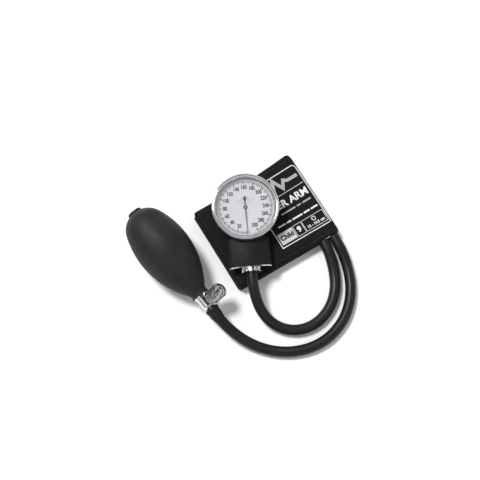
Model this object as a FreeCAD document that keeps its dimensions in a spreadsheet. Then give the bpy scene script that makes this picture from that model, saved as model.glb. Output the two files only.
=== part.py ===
import FreeCAD, Part
import math
import os
import re
import Sketcher
from FreeCAD import Placement, Rotation, Vector

# Aneroid blood pressure set with a child-size cuff, millimetres, +Z up.
# The cuff lies folded in three on a table. X runs along its length, Y across it, and the
# origin is the centre of its underside. The gauge lies on the cuff, the inflation bulb
# lies beside it, and one hose runs from each of them to the bladder inside the cuff.

DIMENSIONS = {
    # folded cuff
    "cuff_half_length": 46.8,
    "cuff_half_width": 37.5,
    "cuff_flare": 2.8,
    "cuff_corner": 3.0,
    "top_panel_base": 7.4,
    "top_panel_thick": 5.8,
    "sheet_thick": 1.1,
    "tail_thick": 2.7,
    "tail_base": 4.4,
    "tail_inset": 0.6,
    "tip_base": 0.9,
    "tip_thick": 2.5,
    "patch_half_length": 34.0,
    "patch_half_width": 31.0,
    "loop_patch_thick": 0.7,
    "bladder_half_length": 44.0,
    "bladder_half_width": 29.0,
    "bladder_thick": 2.8,
    "bladder_wall": 0.7,
    "bladder_gap": 0.3,
    # hoses
    "hose_r": 4.4,
    "hose_bore_r": 2.5,
    "port_z": 10.0,
    "gauge_port_x": 32.2,
    "bulb_port_x": 41.4,
    "port_r": 2.3,
    "port_bore_r": 1.4,
    "port_reach": 10.6,
    # gauge, from the back of its case (z = 0) to the bezel's front
    "case_r": 24.6,
    "case_wall": 1.3,
    "case_floor": 1.4,
    "case_depth": 14.6,
    "case_edge_r": 2.5,
    "neck_half_width": 16.5,
    "neck_back": 3.6,
    "neck_edge": 8.4,
    "neck_crown_r": 36.0,
    "neck_end": 47.4,
    "nipple_z": 8.4,
    "nipple_shank_r": 2.9,
    "nipple_depth": 22.0,
    "barb_root_r": 2.2,
    "barb_r": 2.4,
    "nut_face": 4.9,
    "clip_half_width": 9.0,
    "clip_screw_x": 5.0,
    "clip_screw_y": -8.0,
    "clip_screw_r": 1.0,
    "strap_half_length": 14.8,
    "strap_foot": 13.25,
    "strap_rise": 15.75,
    "strap_thick": 0.8,
    "strap_near": 28.0,
    "strap_width": 12.0,
    "pipe_r": 0.8,
    "pipe_end_z": 3.6,
    "end_plate_thick": 1.2,
    "inlet_nut_r": 7.6,
    "inlet_nut_thick": 3.6,
    "bezel_r": 27.0,
    "bezel_back": 12.5,
    "bezel_front": 19.0,
    "window_r": 23.3,
    "lens_r": 23.7,
    "lens_base": 15.3,
    "lens_top": 16.7,
    "lens_rise": 1.0,
    "dial_r": 23.0,
    "dial_base": 13.1,
    "dial_thick": 0.5,
    "needle_base": 14.1,
    "needle_thick": 0.3,
    "needle_tip": 19.4,
    "needle_tail": 9.4,
    "arbor_r": 0.45,
    "pinion_teeth": 12.0,
    "pinion_pitch_r": 1.5,
    "sector_pitch_r": 15.0,
    "addendum": 0.22,
    "dedendum": 0.3,
    "gap_half": 0.25,
    "gap_slope": 0.27,
    "sector_thick": 0.8,
    "sector_base": 10.0,
    "mesh_clearance": 0.04,
    "capsule_r": 16.0,
    "capsule_base": 2.0,
    "capsule_skin": 0.3,
    "capsule_height": 3.25,
    "base_plate_r": 19.5,
    "base_plate_z": 8.9,
    "movement_plate": 0.7,
    "top_plate_z": 11.4,
    "rock_axis_x": -4.4,
    "rock_axis_z": 6.9,
    "rock_shaft_r": 0.5,
    "tail_pin_reach": 1.5,
    "tail_pin_r": 0.3,
    "rock_arm_top": 9.45,
    # inflation bulb, along its axis from the far end
    "bulb_r": 22.1,
    "bulb_widest": 38.0,
    "bulb_tip_r": 18.5,
    "bulb_front_r": 72.0,
    "bulb_neck_r": 7.0,
    "bulb_neck_start": 84.0,
    "bulb_length": 86.0,
    "bulb_wall": 2.4,
    "bulb_boss_r": 6.2,
    "boss_face": -0.1,
    "neck_bore_r": 4.6,
    "seat_r": 3.55,
    "sleeve_length": 8.4,
    "ball_r": 1.6,
    "ball_z": 3.7,
    # valve
    "valve_r": 5.6,
    "valve_nose_r": 3.9,
    "valve_end": 100.6,
    "valve_bore_r": 1.4,
    "screw_station": 93.0,
    "screw_r": 1.9,
    "knob_r": 6.2,
    "boss_top": 5.8,
    "knob_base": 7.2,
    "knob_top": 20.8,
    "knob_dome_r": 5.6,
    "knob_rise": 2.6,
}

SECTOR_SPACES = 17
TOOTH_PITCH_DEG = 3.0
GAUGE_HEADING_DEG = -25.5
GAUGE_TILT_DEG = 6.0
BULB_HEADING_DEG = 8.0
BULB_DIP_DEG = 6.1
KNOB_ROLL_DEG = 40.0
X_AXIS = Vector(1, 0, 0)
Y_AXIS = Vector(0, 1, 0)
Z_AXIS = Vector(0, 0, 1)

doc = FreeCAD.newDocument("PressureCuff")
sheet = doc.addObject("Spreadsheet::Sheet", "Dims")
for row, (alias, number) in enumerate(DIMENSIONS.items(), start=1):
    sheet.set("A%d" % row, alias)
    sheet.set("B%d" % row, str(number))
    sheet.setAlias("B%d" % row, alias)
doc.recompute()

PARTS = []


def bound(text):
    """The expression that an object binds to, with each alias pointing at the sheet."""
    def link(match):
        word = match.group(0)
        return "Dims." + word if word in DIMENSIONS else word
    return re.sub(r"[A-Za-z_][A-Za-z0-9_]*", link, str(text))


def value(text):
    """The number that an expression of sheet aliases gives now."""
    return float(sheet.evalExpression(str(text)))


def bind(thing, setting, text):
    thing.setExpression(setting, bound(text))


# Each tube's tightest bend, in diameters, and how far a hose runs straight from its fitting.
HOSE_LEAD = 10.0
HOSE_LEAST_BEND = 2.9
PIPE_LEAST_BEND = 0.8

# Control points of each hose between its fitting and the cuff.
GAUGE_HOSE = [
    (-40.4, -50.6, 16.2), (-41.9, -60.6, 11.2), (-40.2, -71.2, 7.2), (-35.0, -80.6, 5.2),
    (-26.9, -87.7, 4.6), (-16.8, -91.5, 4.6), (-6.0, -91.6, 4.6), (4.3, -88.4, 4.6),
    (13.4, -82.5, 4.6), (20.6, -74.6, 4.6), (25.8, -65.2, 5.2), (29.4, -54.9, 7.4),
    (31.6, -45.2, 9.6),
]
BULB_HOSE = [
    (-70.8, -63.1, 11.2), (-65.5, -74.4, 7.4), (-58.0, -85.3, 5.1),
    (-48.4, -94.7, 4.6), (-37.0, -102.0, 4.6), (-24.2, -106.4, 4.6), (-10.9, -107.6, 4.6),
    (2.3, -105.0, 4.6), (14.5, -99.2, 4.6), (24.9, -90.1, 4.6), (33.0, -78.6, 4.6),
    (38.2, -65.6, 5.4), (40.7, -54.0, 7.8), (41.4, -45.4, 9.6),
]

# Places shared by the pieces of one assembly.
gauge_turn = Rotation(Z_AXIS, GAUGE_HEADING_DEG) * Rotation(X_AXIS, GAUGE_TILT_DEG)
gauge_place = Placement(Vector(-10.6, 15.0, 18.0), gauge_turn)
bulb_turn = (
    Rotation(Z_AXIS, BULB_HEADING_DEG)
    * Rotation(X_AXIS, 90 + BULB_DIP_DEG)
    * Rotation(Z_AXIS, KNOB_ROLL_DEG)
)
bulb_place = Placement(Vector(-89.2, 57.0, 26.7), bulb_turn)
cuff_place = Placement()
sector_spot = Vector(value("rock_axis_x"), 0, 0)
sector_spot.y = math.sqrt(value("sector_pitch_r+pinion_pitch_r+mesh_clearance") ** 2
                          - sector_spot.x ** 2)


# ---------------------------------------------------------------- modelling helpers
def keep(thing, place):
    """Register a finished sub-part at its assembly's place."""
    thing.Placement = place
    PARTS.append(thing)
    return thing


def new_body(label):
    body = doc.addObject("PartDesign::Body", label)
    body.Label = label
    return body


def arc_between(start, end, radius, side):
    """Arc from start to end. Side 1 turns left on the way, and -1 turns right."""
    chord = end - start
    half = chord.Length / 2
    rise = math.sqrt(max(radius * radius - half * half, 0.0))
    left = Vector(-chord.y, chord.x, 0).normalize()
    centre = (start + end) * 0.5 + left * (rise * side)
    middle = centre - left * (radius * side)
    return Part.ArcOfCircle(start, middle, end)


def pin_vertex(sketch, edge, end, direction, text):
    """Fix one coordinate of a vertex to an expression, or to the axis when it is zero."""
    number = value(text)
    if abs(number) < 1e-9:
        axis = -2 if direction == "X" else -1
        sketch.addConstraint(Sketcher.Constraint("PointOnObject", edge, end, axis))
        return
    index = sketch.addConstraint(
        Sketcher.Constraint("Distance" + direction, -1, 1, edge, end, number))
    name = "%s%d" % (direction.lower(), edge)
    sketch.renameConstraint(index, name)
    bind(sketch, "Constraints." + name, text)


def outline(body, role, corners, offset="0"):
    """Closed outline on an origin plane. A corner is (x, y), reached by a straight edge,
    or (x, y, radius, side), reached by an arc."""
    plane = [item for item in body.Origin.OriginFeatures if item.Role == role][0]
    sketch = body.newObject("Sketcher::SketchObject", "Outline")
    sketch.AttachmentSupport = [(plane, "")]
    sketch.MapMode = "FlatFace"
    bind(sketch, "AttachmentOffset.Base.z", offset)
    spots = [Vector(value(corner[0]), value(corner[1]), 0) for corner in corners]
    ends = []
    for index, corner in enumerate(corners):
        start, end = spots[index - 1], spots[index]
        if len(corner) == 2:
            edge = sketch.addGeometry(Part.LineSegment(start, end))
            ends.append((edge, 1, 2))
            continue
        edge = sketch.addGeometry(arc_between(start, end, value(corner[2]), corner[3]))
        # a sketch keeps every arc anticlockwise, so a right turn swaps its ends
        swapped = sketch.getPoint(edge, 1).distanceToPoint(start) > 1e-6
        ends.append((edge, 2, 1) if swapped else (edge, 1, 2))
    for index, corner in enumerate(corners):
        edge, _, last = ends[index]
        following, first, _ = ends[(index + 1) % len(ends)]
        sketch.addConstraint(Sketcher.Constraint("Coincident", edge, last, following, first))
        pin_vertex(sketch, edge, last, "X", corner[0])
        pin_vertex(sketch, edge, last, "Y", corner[1])
        if len(corner) == 4:
            number = sketch.addConstraint(
                Sketcher.Constraint("Radius", edge, value(corner[2])))
            sketch.renameConstraint(number, "r%d" % edge)
            bind(sketch, "Constraints.r%d" % edge, corner[2])
    return sketch


def circle(body, role, x, y, radius, offset="0", hole=None):
    """Circle, or ring when a hole is given, on an origin plane and bound to the sheet."""
    plane = [item for item in body.Origin.OriginFeatures if item.Role == role][0]
    sketch = body.newObject("Sketcher::SketchObject", "Circle")
    sketch.AttachmentSupport = [(plane, "")]
    sketch.MapMode = "FlatFace"
    bind(sketch, "AttachmentOffset.Base.z", offset)
    centre = Vector(value(x), value(y), 0)
    for size in (radius, hole):
        if size is None:
            continue
        edge = sketch.addGeometry(Part.Circle(centre, Z_AXIS, value(size)))
        pin_vertex(sketch, edge, 3, "X", x)
        pin_vertex(sketch, edge, 3, "Y", y)
        index = sketch.addConstraint(Sketcher.Constraint("Radius", edge, value(size)))
        sketch.renameConstraint(index, "radius%d" % edge)
        bind(sketch, "Constraints.radius%d" % edge, size)
    return sketch


def volume(body):
    doc.recompute()
    return body.Shape.Volume


def pad(body, sketch, length, flip=False):
    feature = body.newObject("PartDesign::Pad", "Pad")
    feature.Profile = sketch
    feature.Reversed = flip
    bind(feature, "Length", length)
    return feature


def cut(body, sketch, length, flip=False):
    """Pocket along the sketch's back, or its front when flipped. It has to cut."""
    before = volume(body)
    feature = body.newObject("PartDesign::Pocket", "Pocket")
    feature.Profile = sketch
    feature.Reversed = flip
    bind(feature, "Length", length)
    if volume(body) > before - 1e-6:
        raise RuntimeError("a pocket in %s cuts nothing" % body.Label)
    return feature


def spin(body, sketch, kind="Revolution", axis="V_Axis"):
    """Full turn about the sketch's own axis, adding or grooving."""
    feature = body.newObject("PartDesign::" + kind, kind)
    feature.Profile = sketch
    feature.ReferenceAxis = (sketch, [axis])
    feature.Angle = 360
    return feature


def repeat_round(body, feature, sketch, count, angle=360):
    """Copies of a feature about the sketch's normal at the origin."""
    before = volume(body)
    pattern = body.newObject("PartDesign::PolarPattern", "Pattern")
    pattern.Originals = [feature]
    pattern.Axis = (sketch, ["N_Axis"])
    pattern.Angle = angle
    pattern.Occurrences = count
    body.Tip = pattern
    if abs(volume(body) - before) < 1e-9:
        raise RuntimeError("a pattern in %s changes nothing" % body.Label)
    return pattern


def rectangle(x0, y0, x1, y1, corner="0"):
    """Corners of an upright rectangle, rounded when a corner radius is given."""
    if corner == "0":
        return [(x0, y0), (x1, y0), (x1, y1), (x0, y1)]
    inner = {"x0": "(%s)+%s" % (x0, corner), "x1": "(%s)-%s" % (x1, corner),
             "y0": "(%s)+%s" % (y0, corner), "y1": "(%s)-%s" % (y1, corner)}
    return [
        (inner["x0"], y0, corner, 1), (inner["x1"], y0),
        (x1, inner["y0"], corner, 1), (x1, inner["y1"]),
        (inner["x1"], y1, corner, 1), (inner["x0"], y1),
        (x0, inner["y1"], corner, 1), (x0, inner["y0"]),
    ]


def turned(label, place, corners):
    """A turned piece: its half section, (radius, height), spun about the local Z."""
    body = new_body(label)
    spin(body, outline(body, "XZ_Plane", corners))
    return keep(body, place)


def plate(label, place, corners, base, thick):
    """A flat piece cut from sheet, lying parallel to the local XY plane."""
    body = new_body(label)
    pad(body, outline(body, "XY_Plane", corners, base), thick)
    return keep(body, place)


def disc_stack(base, steps):
    """Half section of a solid turned piece: (radius, top height) steps from a base."""
    corners = [("0", base)]
    low = base
    for radius, top in steps:
        corners += [(radius, low), (radius, top)]
        low = top
    return corners + [("0", low)]


def ring(inner, outer, low, high):
    return [(inner, low), (outer, low), (outer, high), (inner, high)]


def posts(label, place, spots, radius, base, height):
    """A group of identical round posts, one solid each."""
    group = []
    for x, y in spots:
        post = doc.addObject("Part::Cylinder", label + "_post")
        bind(post, "Radius", radius)
        bind(post, "Height", height)
        bind(post, "Placement.Base.x", x)
        bind(post, "Placement.Base.y", y)
        bind(post, "Placement.Base.z", base)
        group.append(post)
    compound = doc.addObject("Part::Compound", label)
    compound.Label = label
    compound.Links = group
    return keep(compound, place)


def polar(radius, degrees):
    """Expressions for the point at a radius and an angle."""
    return ("(%s)*cos(%s deg)" % (radius, degrees), "(%s)*sin(%s deg)" % (radius, degrees))


# ---------------------------------------------------------------- the folded cuff
def layer(inset):
    """Rounded corners of one folded layer, whose far edge runs outwards to the right."""
    left, right = "(%s)/3-cuff_half_length" % inset, "cuff_half_length-(%s)/3" % inset
    near, far = "(%s)-cuff_half_width" % inset, "cuff_half_width-(%s)" % inset
    far_right = far + "+cuff_flare"
    return [
        (left + "+cuff_corner", near, "cuff_corner", 1), (right + "-cuff_corner", near),
        (right, near + "+cuff_corner", "cuff_corner", 1), (right, far_right + "-cuff_corner"),
        (right + "-cuff_corner", far_right, "cuff_corner", 1), (left + "+cuff_corner", far),
        (left, far + "-cuff_corner", "cuff_corner", 1), (left, near + "+cuff_corner"),
    ]


def cuff_top_panel():
    """Upper layer of the cuff: two sheets sewn round a pocket that holds the bladder."""
    body = new_body("cuff_top_panel")
    pad(body, outline(body, "XY_Plane", layer("0"), "top_panel_base"), "top_panel_thick")
    doc.recompute()
    pocket = body.newObject("PartDesign::SubtractiveBox", "BladderPocket")
    bind(pocket, "Length", "2*(bladder_half_length+bladder_gap)")
    bind(pocket, "Width", "2*(bladder_half_width+bladder_gap)")
    bind(pocket, "Height", "top_panel_thick-2*sheet_thick")
    bind(pocket, "Placement.Base.x", "-bladder_half_length-bladder_gap")
    bind(pocket, "Placement.Base.y", "-bladder_half_width-bladder_gap")
    bind(pocket, "Placement.Base.z", "top_panel_base+sheet_thick")
    for port_x in ("gauge_port_x", "bulb_port_x"):
        slit = circle(body, "XZ_Plane", port_x, "port_z", "port_r+0.05", "cuff_half_width-15")
        cut(body, slit, "20", flip=True)
    return keep(body, cuff_place)


def bladder():
    """Flat rubber bag with a moulded stub for each hose."""
    body = new_body("bladder")
    edge = rectangle("-bladder_half_length", "-bladder_half_width", "bladder_half_length",
                     "bladder_half_width", "cuff_corner")
    pad(body, outline(body, "XY_Plane", edge, "port_z-bladder_thick/2"), "bladder_thick")
    doc.recompute()
    air = body.newObject("PartDesign::SubtractiveBox", "AirSpace")
    bind(air, "Length", "2*(bladder_half_length-bladder_wall)")
    bind(air, "Width", "2*(bladder_half_width-bladder_wall)")
    bind(air, "Height", "bladder_thick-2*bladder_wall")
    bind(air, "Placement.Base.x", "bladder_wall-bladder_half_length")
    bind(air, "Placement.Base.y", "bladder_wall-bladder_half_width")
    bind(air, "Placement.Base.z", "port_z-bladder_thick/2+bladder_wall")
    for port_x in ("gauge_port_x", "bulb_port_x"):
        outlet = circle(body, "XZ_Plane", port_x, "port_z", "port_bore_r",
                        "bladder_half_width+1")
        cut(body, outlet, "bladder_wall+1.3")
        stub = circle(body, "XZ_Plane", port_x, "port_z", "port_r", "bladder_half_width-0.2",
                      "port_bore_r")
        pad(body, stub, "port_reach")
    return keep(body, cuff_place)


def cuff():
    cuff_top_panel()
    bladder()
    plate("cuff_tail_panel", cuff_place, layer("tail_inset"), "tail_base", "tail_thick")
    plate("cuff_tail_tip", cuff_place, layer("tail_inset"), "tip_base", "tip_thick")
    tape = rectangle("-patch_half_length", "-patch_half_width", "patch_half_length",
                     "patch_half_width", "cuff_corner")
    plate("loop_patch", cuff_place, tape, "tail_base-loop_patch_thick", "loop_patch_thick")
    plate("hook_patch", cuff_place, tape, "0", "tip_base")


def gauge_loop():
    """Webbing sewn down at both ends, which the gauge's clip slides under."""
    half = [("clip_half_width+0.6", "strap_rise"), ("clip_half_width+1.8", "strap_foot"),
            ("strap_half_length", "strap_foot"),
            ("strap_half_length", "strap_foot+strap_thick"),
            ("clip_half_width+2.2", "strap_foot+strap_thick"),
            ("clip_half_width+1", "strap_rise+strap_thick")]
    mirror = [("-(%s)" % x, z) for x, z in reversed(half)]
    body = new_body("gauge_loop")
    pad(body, outline(body, "XZ_Plane", half + mirror, "strap_near"), "strap_width")
    heading = Rotation(Z_AXIS, GAUGE_HEADING_DEG)
    base = gauge_place.Base
    return keep(body, Placement(Vector(base.x, base.y, 0), heading))


# ---------------------------------------------------------------- the gauge's shell
def neck_section(margin):
    """Flat-backed section of the neck with a crowned front, grown by a margin."""
    side, back = "neck_half_width+%s" % margin, "neck_back-%s" % margin
    return [("-(%s)" % side, back), (side, back), (side, "neck_edge"),
            ("-(%s)" % side, "neck_edge", "neck_crown_r+%s" % margin, 1)]


def gauge_case():
    """Enamelled cup with a neck that carries the air inlet."""
    body = new_body("gauge_case")
    pad(body, outline(body, "XZ_Plane", neck_section("0"), "10"), "neck_end-10")
    cup = [("0", "0"), ("case_r-case_edge_r", "0"), ("case_r", "case_edge_r", "case_edge_r", 1),
           ("case_r", "case_depth"), ("0", "case_depth")]
    spin(body, outline(body, "XZ_Plane", cup))
    hollow = [("0", "case_floor"), ("case_r-case_wall", "case_floor"),
              ("case_r-case_wall", "case_depth+1"), ("0", "case_depth+1")]
    spin(body, outline(body, "XZ_Plane", hollow), "Groove")
    bore = circle(body, "XZ_Plane", "0", "nipple_z", "nipple_shank_r+0.1", "neck_end")
    cut(body, bore, "neck_end-case_r+case_wall+1")
    for x in ("-clip_screw_x", "clip_screw_x"):
        cut(body, circle(body, "XY_Plane", x, "clip_screw_y", "clip_screw_r+0.05", "-1"), "3",
            flip=True)
    return keep(body, gauge_place)


def end_plate():
    """Chromed plate that closes the neck, a little proud of it all round."""
    body = new_body("end_plate")
    pad(body, outline(body, "XZ_Plane", neck_section("0.4"), "neck_end+0.05"),
        "end_plate_thick")
    hole = circle(body, "XZ_Plane", "0", "nipple_z", "nipple_shank_r+0.1", "neck_end+3")
    cut(body, hole, "4")
    return keep(body, gauge_place)


def gauge_inlet():
    """Barbed nipple through the neck, its knurled nut and the pipe to the capsule."""
    along_neck = Placement(Vector(0, -value("neck_end"), value("nipple_z")),
                           Rotation(X_AXIS, 90))
    place = gauge_place * along_neck
    turned("gauge_nipple", place, [
        ("1.2", "-nipple_depth"), ("nipple_shank_r", "-nipple_depth"),
        ("nipple_shank_r", "nut_face"), ("barb_root_r", "nut_face"),
        ("barb_root_r", "nut_face+1.2"), ("barb_r", "nut_face+1.2"),
        ("barb_root_r", "nut_face+2.9"), ("barb_r", "nut_face+2.9"),
        ("barb_root_r", "nut_face+4.8"), ("1.2", "nut_face+4.8")])
    nut = new_body("inlet_nut")
    spin(nut, outline(nut, "XZ_Plane", ring("nipple_shank_r+0.05", "inlet_nut_r",
                                            "nut_face-inlet_nut_thick", "nut_face")))
    notch = circle(nut, "XY_Plane", "inlet_nut_r", "0", "0.62",
                   "nut_face-inlet_nut_thick-0.5")
    notch_cut = cut(nut, notch, "inlet_nut_thick+1", flip=True)
    repeat_round(nut, notch_cut, notch, 20)
    keep(nut, place)
    depth, drop = value("nipple_depth") - value("neck_end"), value("pipe_end_z")
    height, bend_y = value("nipple_z"), -value("base_plate_r")
    route = [Vector(0, depth + 0.05, height), Vector(0, bend_y, height),
             Vector(0, bend_y, drop), Vector(0, -value("capsule_r") - 0.1, drop)]
    tube("pressure_pipe", gauge_place, route, "pipe_r", "pipe_r-0.3", PIPE_LEAST_BEND)


def clip():
    """Spring-plate clip screwed to the back of the case, its end turned up."""
    body = new_body("clip_plate")
    strip = [("-2", "-0.9"), ("-25.2", "-0.9"), ("-42.2", "1.2"), ("-45", "2.5"),
             ("-44.6", "3.2"), ("-42", "2"), ("-25", "-0.1"), ("-2", "-0.1")]
    pad(body, outline(body, "YZ_Plane", strip, "-clip_half_width"), "2*clip_half_width")
    for x in ("-clip_screw_x", "clip_screw_x"):
        cut(body, circle(body, "XY_Plane", x, "clip_screw_y", "clip_screw_r+0.05", "-2"), "3",
            flip=True)
    keep(body, gauge_place)
    screws = []
    for x in ("-clip_screw_x", "clip_screw_x"):
        pieces = []
        for radius, base, height in (("1.9", "-2", "1.05"), ("clip_screw_r", "-1", "2.3")):
            piece = doc.addObject("Part::Cylinder", "ScrewPiece")
            bind(piece, "Radius", radius)
            bind(piece, "Height", height)
            bind(piece, "Placement.Base.x", x)
            bind(piece, "Placement.Base.y", "clip_screw_y")
            bind(piece, "Placement.Base.z", base)
            pieces.append(piece)
        screw = doc.addObject("Part::Fuse", "Screw")
        screw.Base, screw.Tool = pieces
        screws.append(screw)
    group = doc.addObject("Part::Compound", "clip_screws")
    group.Label = "clip_screws"
    group.Links = screws
    keep(group, gauge_place)


def bezel_and_lens():
    """Rounded chrome ring, the domed lens it holds and the gasket under the lens."""
    turned("bezel", gauge_place, [
        ("case_r+0.1", "bezel_back"), ("bezel_r-0.6", "bezel_back"),
        ("bezel_r", "bezel_back+0.6", "0.6", 1), ("bezel_r", "bezel_front-2.2"),
        ("bezel_r-1.5", "bezel_front-0.4", "2.4", 1), ("bezel_r-1.9", "bezel_front-0.5"),
        ("window_r+0.5", "bezel_front-1.2"), ("window_r", "bezel_front-1.9"),
        ("window_r", "lens_top"), ("lens_r+0.3", "lens_top"),
        ("lens_r+0.3", "case_depth+0.1"), ("case_r+0.1", "case_depth+0.1")])
    turned("lens", gauge_place, [
        ("0", "lens_base"), ("lens_r", "lens_base"), ("lens_r", "lens_top-0.1"),
        ("window_r", "lens_top-0.1"),
        ("0", "lens_top-0.1+lens_rise", "(window_r^2+lens_rise^2)/(2*lens_rise)", 1)])
    turned("lens_gasket", gauge_place,
           ring("dial_r-1.1", "dial_r", "dial_base+dial_thick+0.05", "lens_base-0.05"))


# ---------------------------------------------------------------- the gauge's movement
def dial_and_needle():
    turned("dial_plate", gauge_place,
           ring("1.6", "dial_r", "dial_base", "dial_base+dial_thick"))
    spots = [("7", "-4.8"), ("-7", "-4.8"), ("6.6", "15")]
    posts("dial_posts", gauge_place, spots, "0.9", "top_plate_z+movement_plate",
          "dial_base-top_plate_z-movement_plate")
    half = [("0.18", "-needle_tip"), ("0.5", "-1.8"), ("1.45", "-0.9"), ("1.45", "0.9"),
            ("0.5", "1.8"), ("0.42", "needle_tail-4.4"), ("1.35", "needle_tail-2.2"),
            ("0.25", "needle_tail")]
    mirror = [("-(%s)" % x, y) for x, y in reversed(half)]
    body = new_body("needle")
    pad(body, outline(body, "XY_Plane", half + mirror, "needle_base"), "needle_thick")
    hole = circle(body, "XY_Plane", "0", "0", "arbor_r+0.02", "needle_base-1")
    cut(body, hole, "3", flip=True)
    keep(body, gauge_place)
    low = "needle_base+needle_thick"
    turned("needle_hub", gauge_place, ring("arbor_r+0.02", "1.3", low, low + "+0.6"))


def arbor(label, spot, top, upper_pivot):
    """Steel arbor with a pivot in the base plate, and in the top plate if asked."""
    steps = [("0.3", "base_plate_z+movement_plate+0.05")]
    if upper_pivot:
        steps += [("arbor_r", "top_plate_z-0.05"), ("0.3", top)]
    else:
        steps += [("arbor_r", top)]
    turned(label, gauge_place * Placement(spot, Rotation()),
           disc_stack("base_plate_z+0.05", steps))


def tooth_space(body, pitch_r, outer_r, root_r, base, thick):
    """One tooth gap, symmetric about the local X axis."""
    def half_gap(radius):
        return "gap_half+(%s-(%s))*gap_slope" % (radius, pitch_r)
    reach = "%s+0.1" % outer_r
    corners = [(root_r, "-(%s)" % half_gap(root_r)), (reach, "-(%s)" % half_gap(reach)),
               (reach, half_gap(reach)), (root_r, half_gap(root_r))]
    sketch = outline(body, "XY_Plane", corners, base + "-0.5")
    return sketch, cut(body, sketch, thick + "+1", flip=True)


def needle_pinion():
    """Twelve-tooth pinion on the needle's arbor, a gap facing the sector."""
    body = new_body("needle_pinion")
    blank = circle(body, "XY_Plane", "0", "0", "pinion_pitch_r+addendum", "sector_base-0.1")
    pad(body, blank, "sector_thick+0.3")
    gap, gap_cut = tooth_space(body, "pinion_pitch_r", "pinion_pitch_r+addendum",
                               "pinion_pitch_r-dedendum", "sector_base-0.1",
                               "sector_thick+0.3")
    repeat_round(body, gap_cut, gap, int(value("pinion_teeth")))
    hole = circle(body, "XY_Plane", "0", "0", "arbor_r+0.02", "sector_base-1")
    cut(body, hole, "4", flip=True)
    to_sector = Rotation(Z_AXIS, math.degrees(math.atan2(sector_spot.y, sector_spot.x)))
    return keep(body, gauge_place * Placement(Vector(), to_sector))


def sector_gear():
    """Toothed quadrant that turns the pinion, with a pin on its tail."""
    body = new_body("sector_gear")
    outer = "sector_pitch_r+addendum"
    last_gap = (SECTOR_SPACES - 1) * TOOTH_PITCH_DEG
    margin = 0.6 * TOOTH_PITCH_DEG
    corners = [("0", "0"), polar(outer, -margin),
               polar(outer, last_gap + margin) + (outer, 1)]
    pad(body, outline(body, "XY_Plane", corners, "sector_base"), "sector_thick")
    gap, gap_cut = tooth_space(body, "sector_pitch_r", outer, "sector_pitch_r-dedendum",
                               "sector_base", "sector_thick")
    repeat_round(body, gap_cut, gap, SECTOR_SPACES, last_gap)
    hub = circle(body, "XY_Plane", "0", "0", "tail_pin_reach+tail_pin_r+0.1", "sector_base")
    pad(body, hub, "sector_thick")
    hole = circle(body, "XY_Plane", "0", "0", "arbor_r+0.02", "sector_base-1")
    cut(body, hole, "4", flip=True)
    # the first gap is on the local X axis, and the line to the pinion is half a pitch
    # short of the gap before the last two, so that a tooth fills the pinion's gap
    line_to_pinion = math.degrees(math.atan2(-sector_spot.y, -sector_spot.x))
    turn = line_to_pinion - (SECTOR_SPACES - 3.5) * TOOTH_PITCH_DEG
    tail_x, tail_y = polar("tail_pin_reach", 90 - turn)
    pin = circle(body, "XY_Plane", tail_x, tail_y, "tail_pin_r", "rock_arm_top-0.35")
    pad(body, pin, "sector_base+sector_thick-rock_arm_top+0.35")
    return keep(body, gauge_place * Placement(sector_spot, Rotation(Z_AXIS, turn)))


def rocking_shaft():
    """Shaft with one arm over the capsule's pusher and one behind the sector's pin."""
    body = new_body("rocking_shaft")
    far_end = sector_spot.y + 2.3
    bar = circle(body, "XZ_Plane", "rock_axis_x", "rock_axis_z", "rock_shaft_r", -far_end)
    pad(body, bar, far_end + 3)
    low_arm = rectangle("rock_axis_x", "rock_axis_z-0.3", "0.4", "rock_axis_z+0.3")
    pad(body, outline(body, "XZ_Plane", low_arm, "-0.6"), "1.2")
    left, face, right = "rock_axis_x-0.4", "rock_axis_x+tail_pin_r+0.1", "rock_axis_x+1.4"
    high_arm = [(left, "rock_axis_z-0.4"), (right, "rock_axis_z-0.4"),
                (right, "rock_arm_top"), (face, "rock_arm_top"),
                (face, "rock_axis_z+0.4"), (left, "rock_axis_z+0.4")]
    pad(body, outline(body, "XZ_Plane", high_arm, -far_end + 0.2), "1")
    keep(body, gauge_place)
    brackets = []
    for y in (-2.0, 9.0):
        block = new_body("Bracket")
        around = rectangle("rock_axis_x-1.1", "rock_axis_z-1.1", "rock_axis_x+1.1",
                           "base_plate_z")
        pad(block, outline(block, "XZ_Plane", around, -y), "1.4")
        bore = circle(block, "XZ_Plane", "rock_axis_x", "rock_axis_z", "rock_shaft_r+0.05",
                      -y + 2)
        cut(block, bore, "4")
        brackets.append(block)
    group = doc.addObject("Part::Compound", "shaft_brackets")
    group.Label = "shaft_brackets"
    group.Links = brackets
    keep(group, gauge_place)


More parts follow.
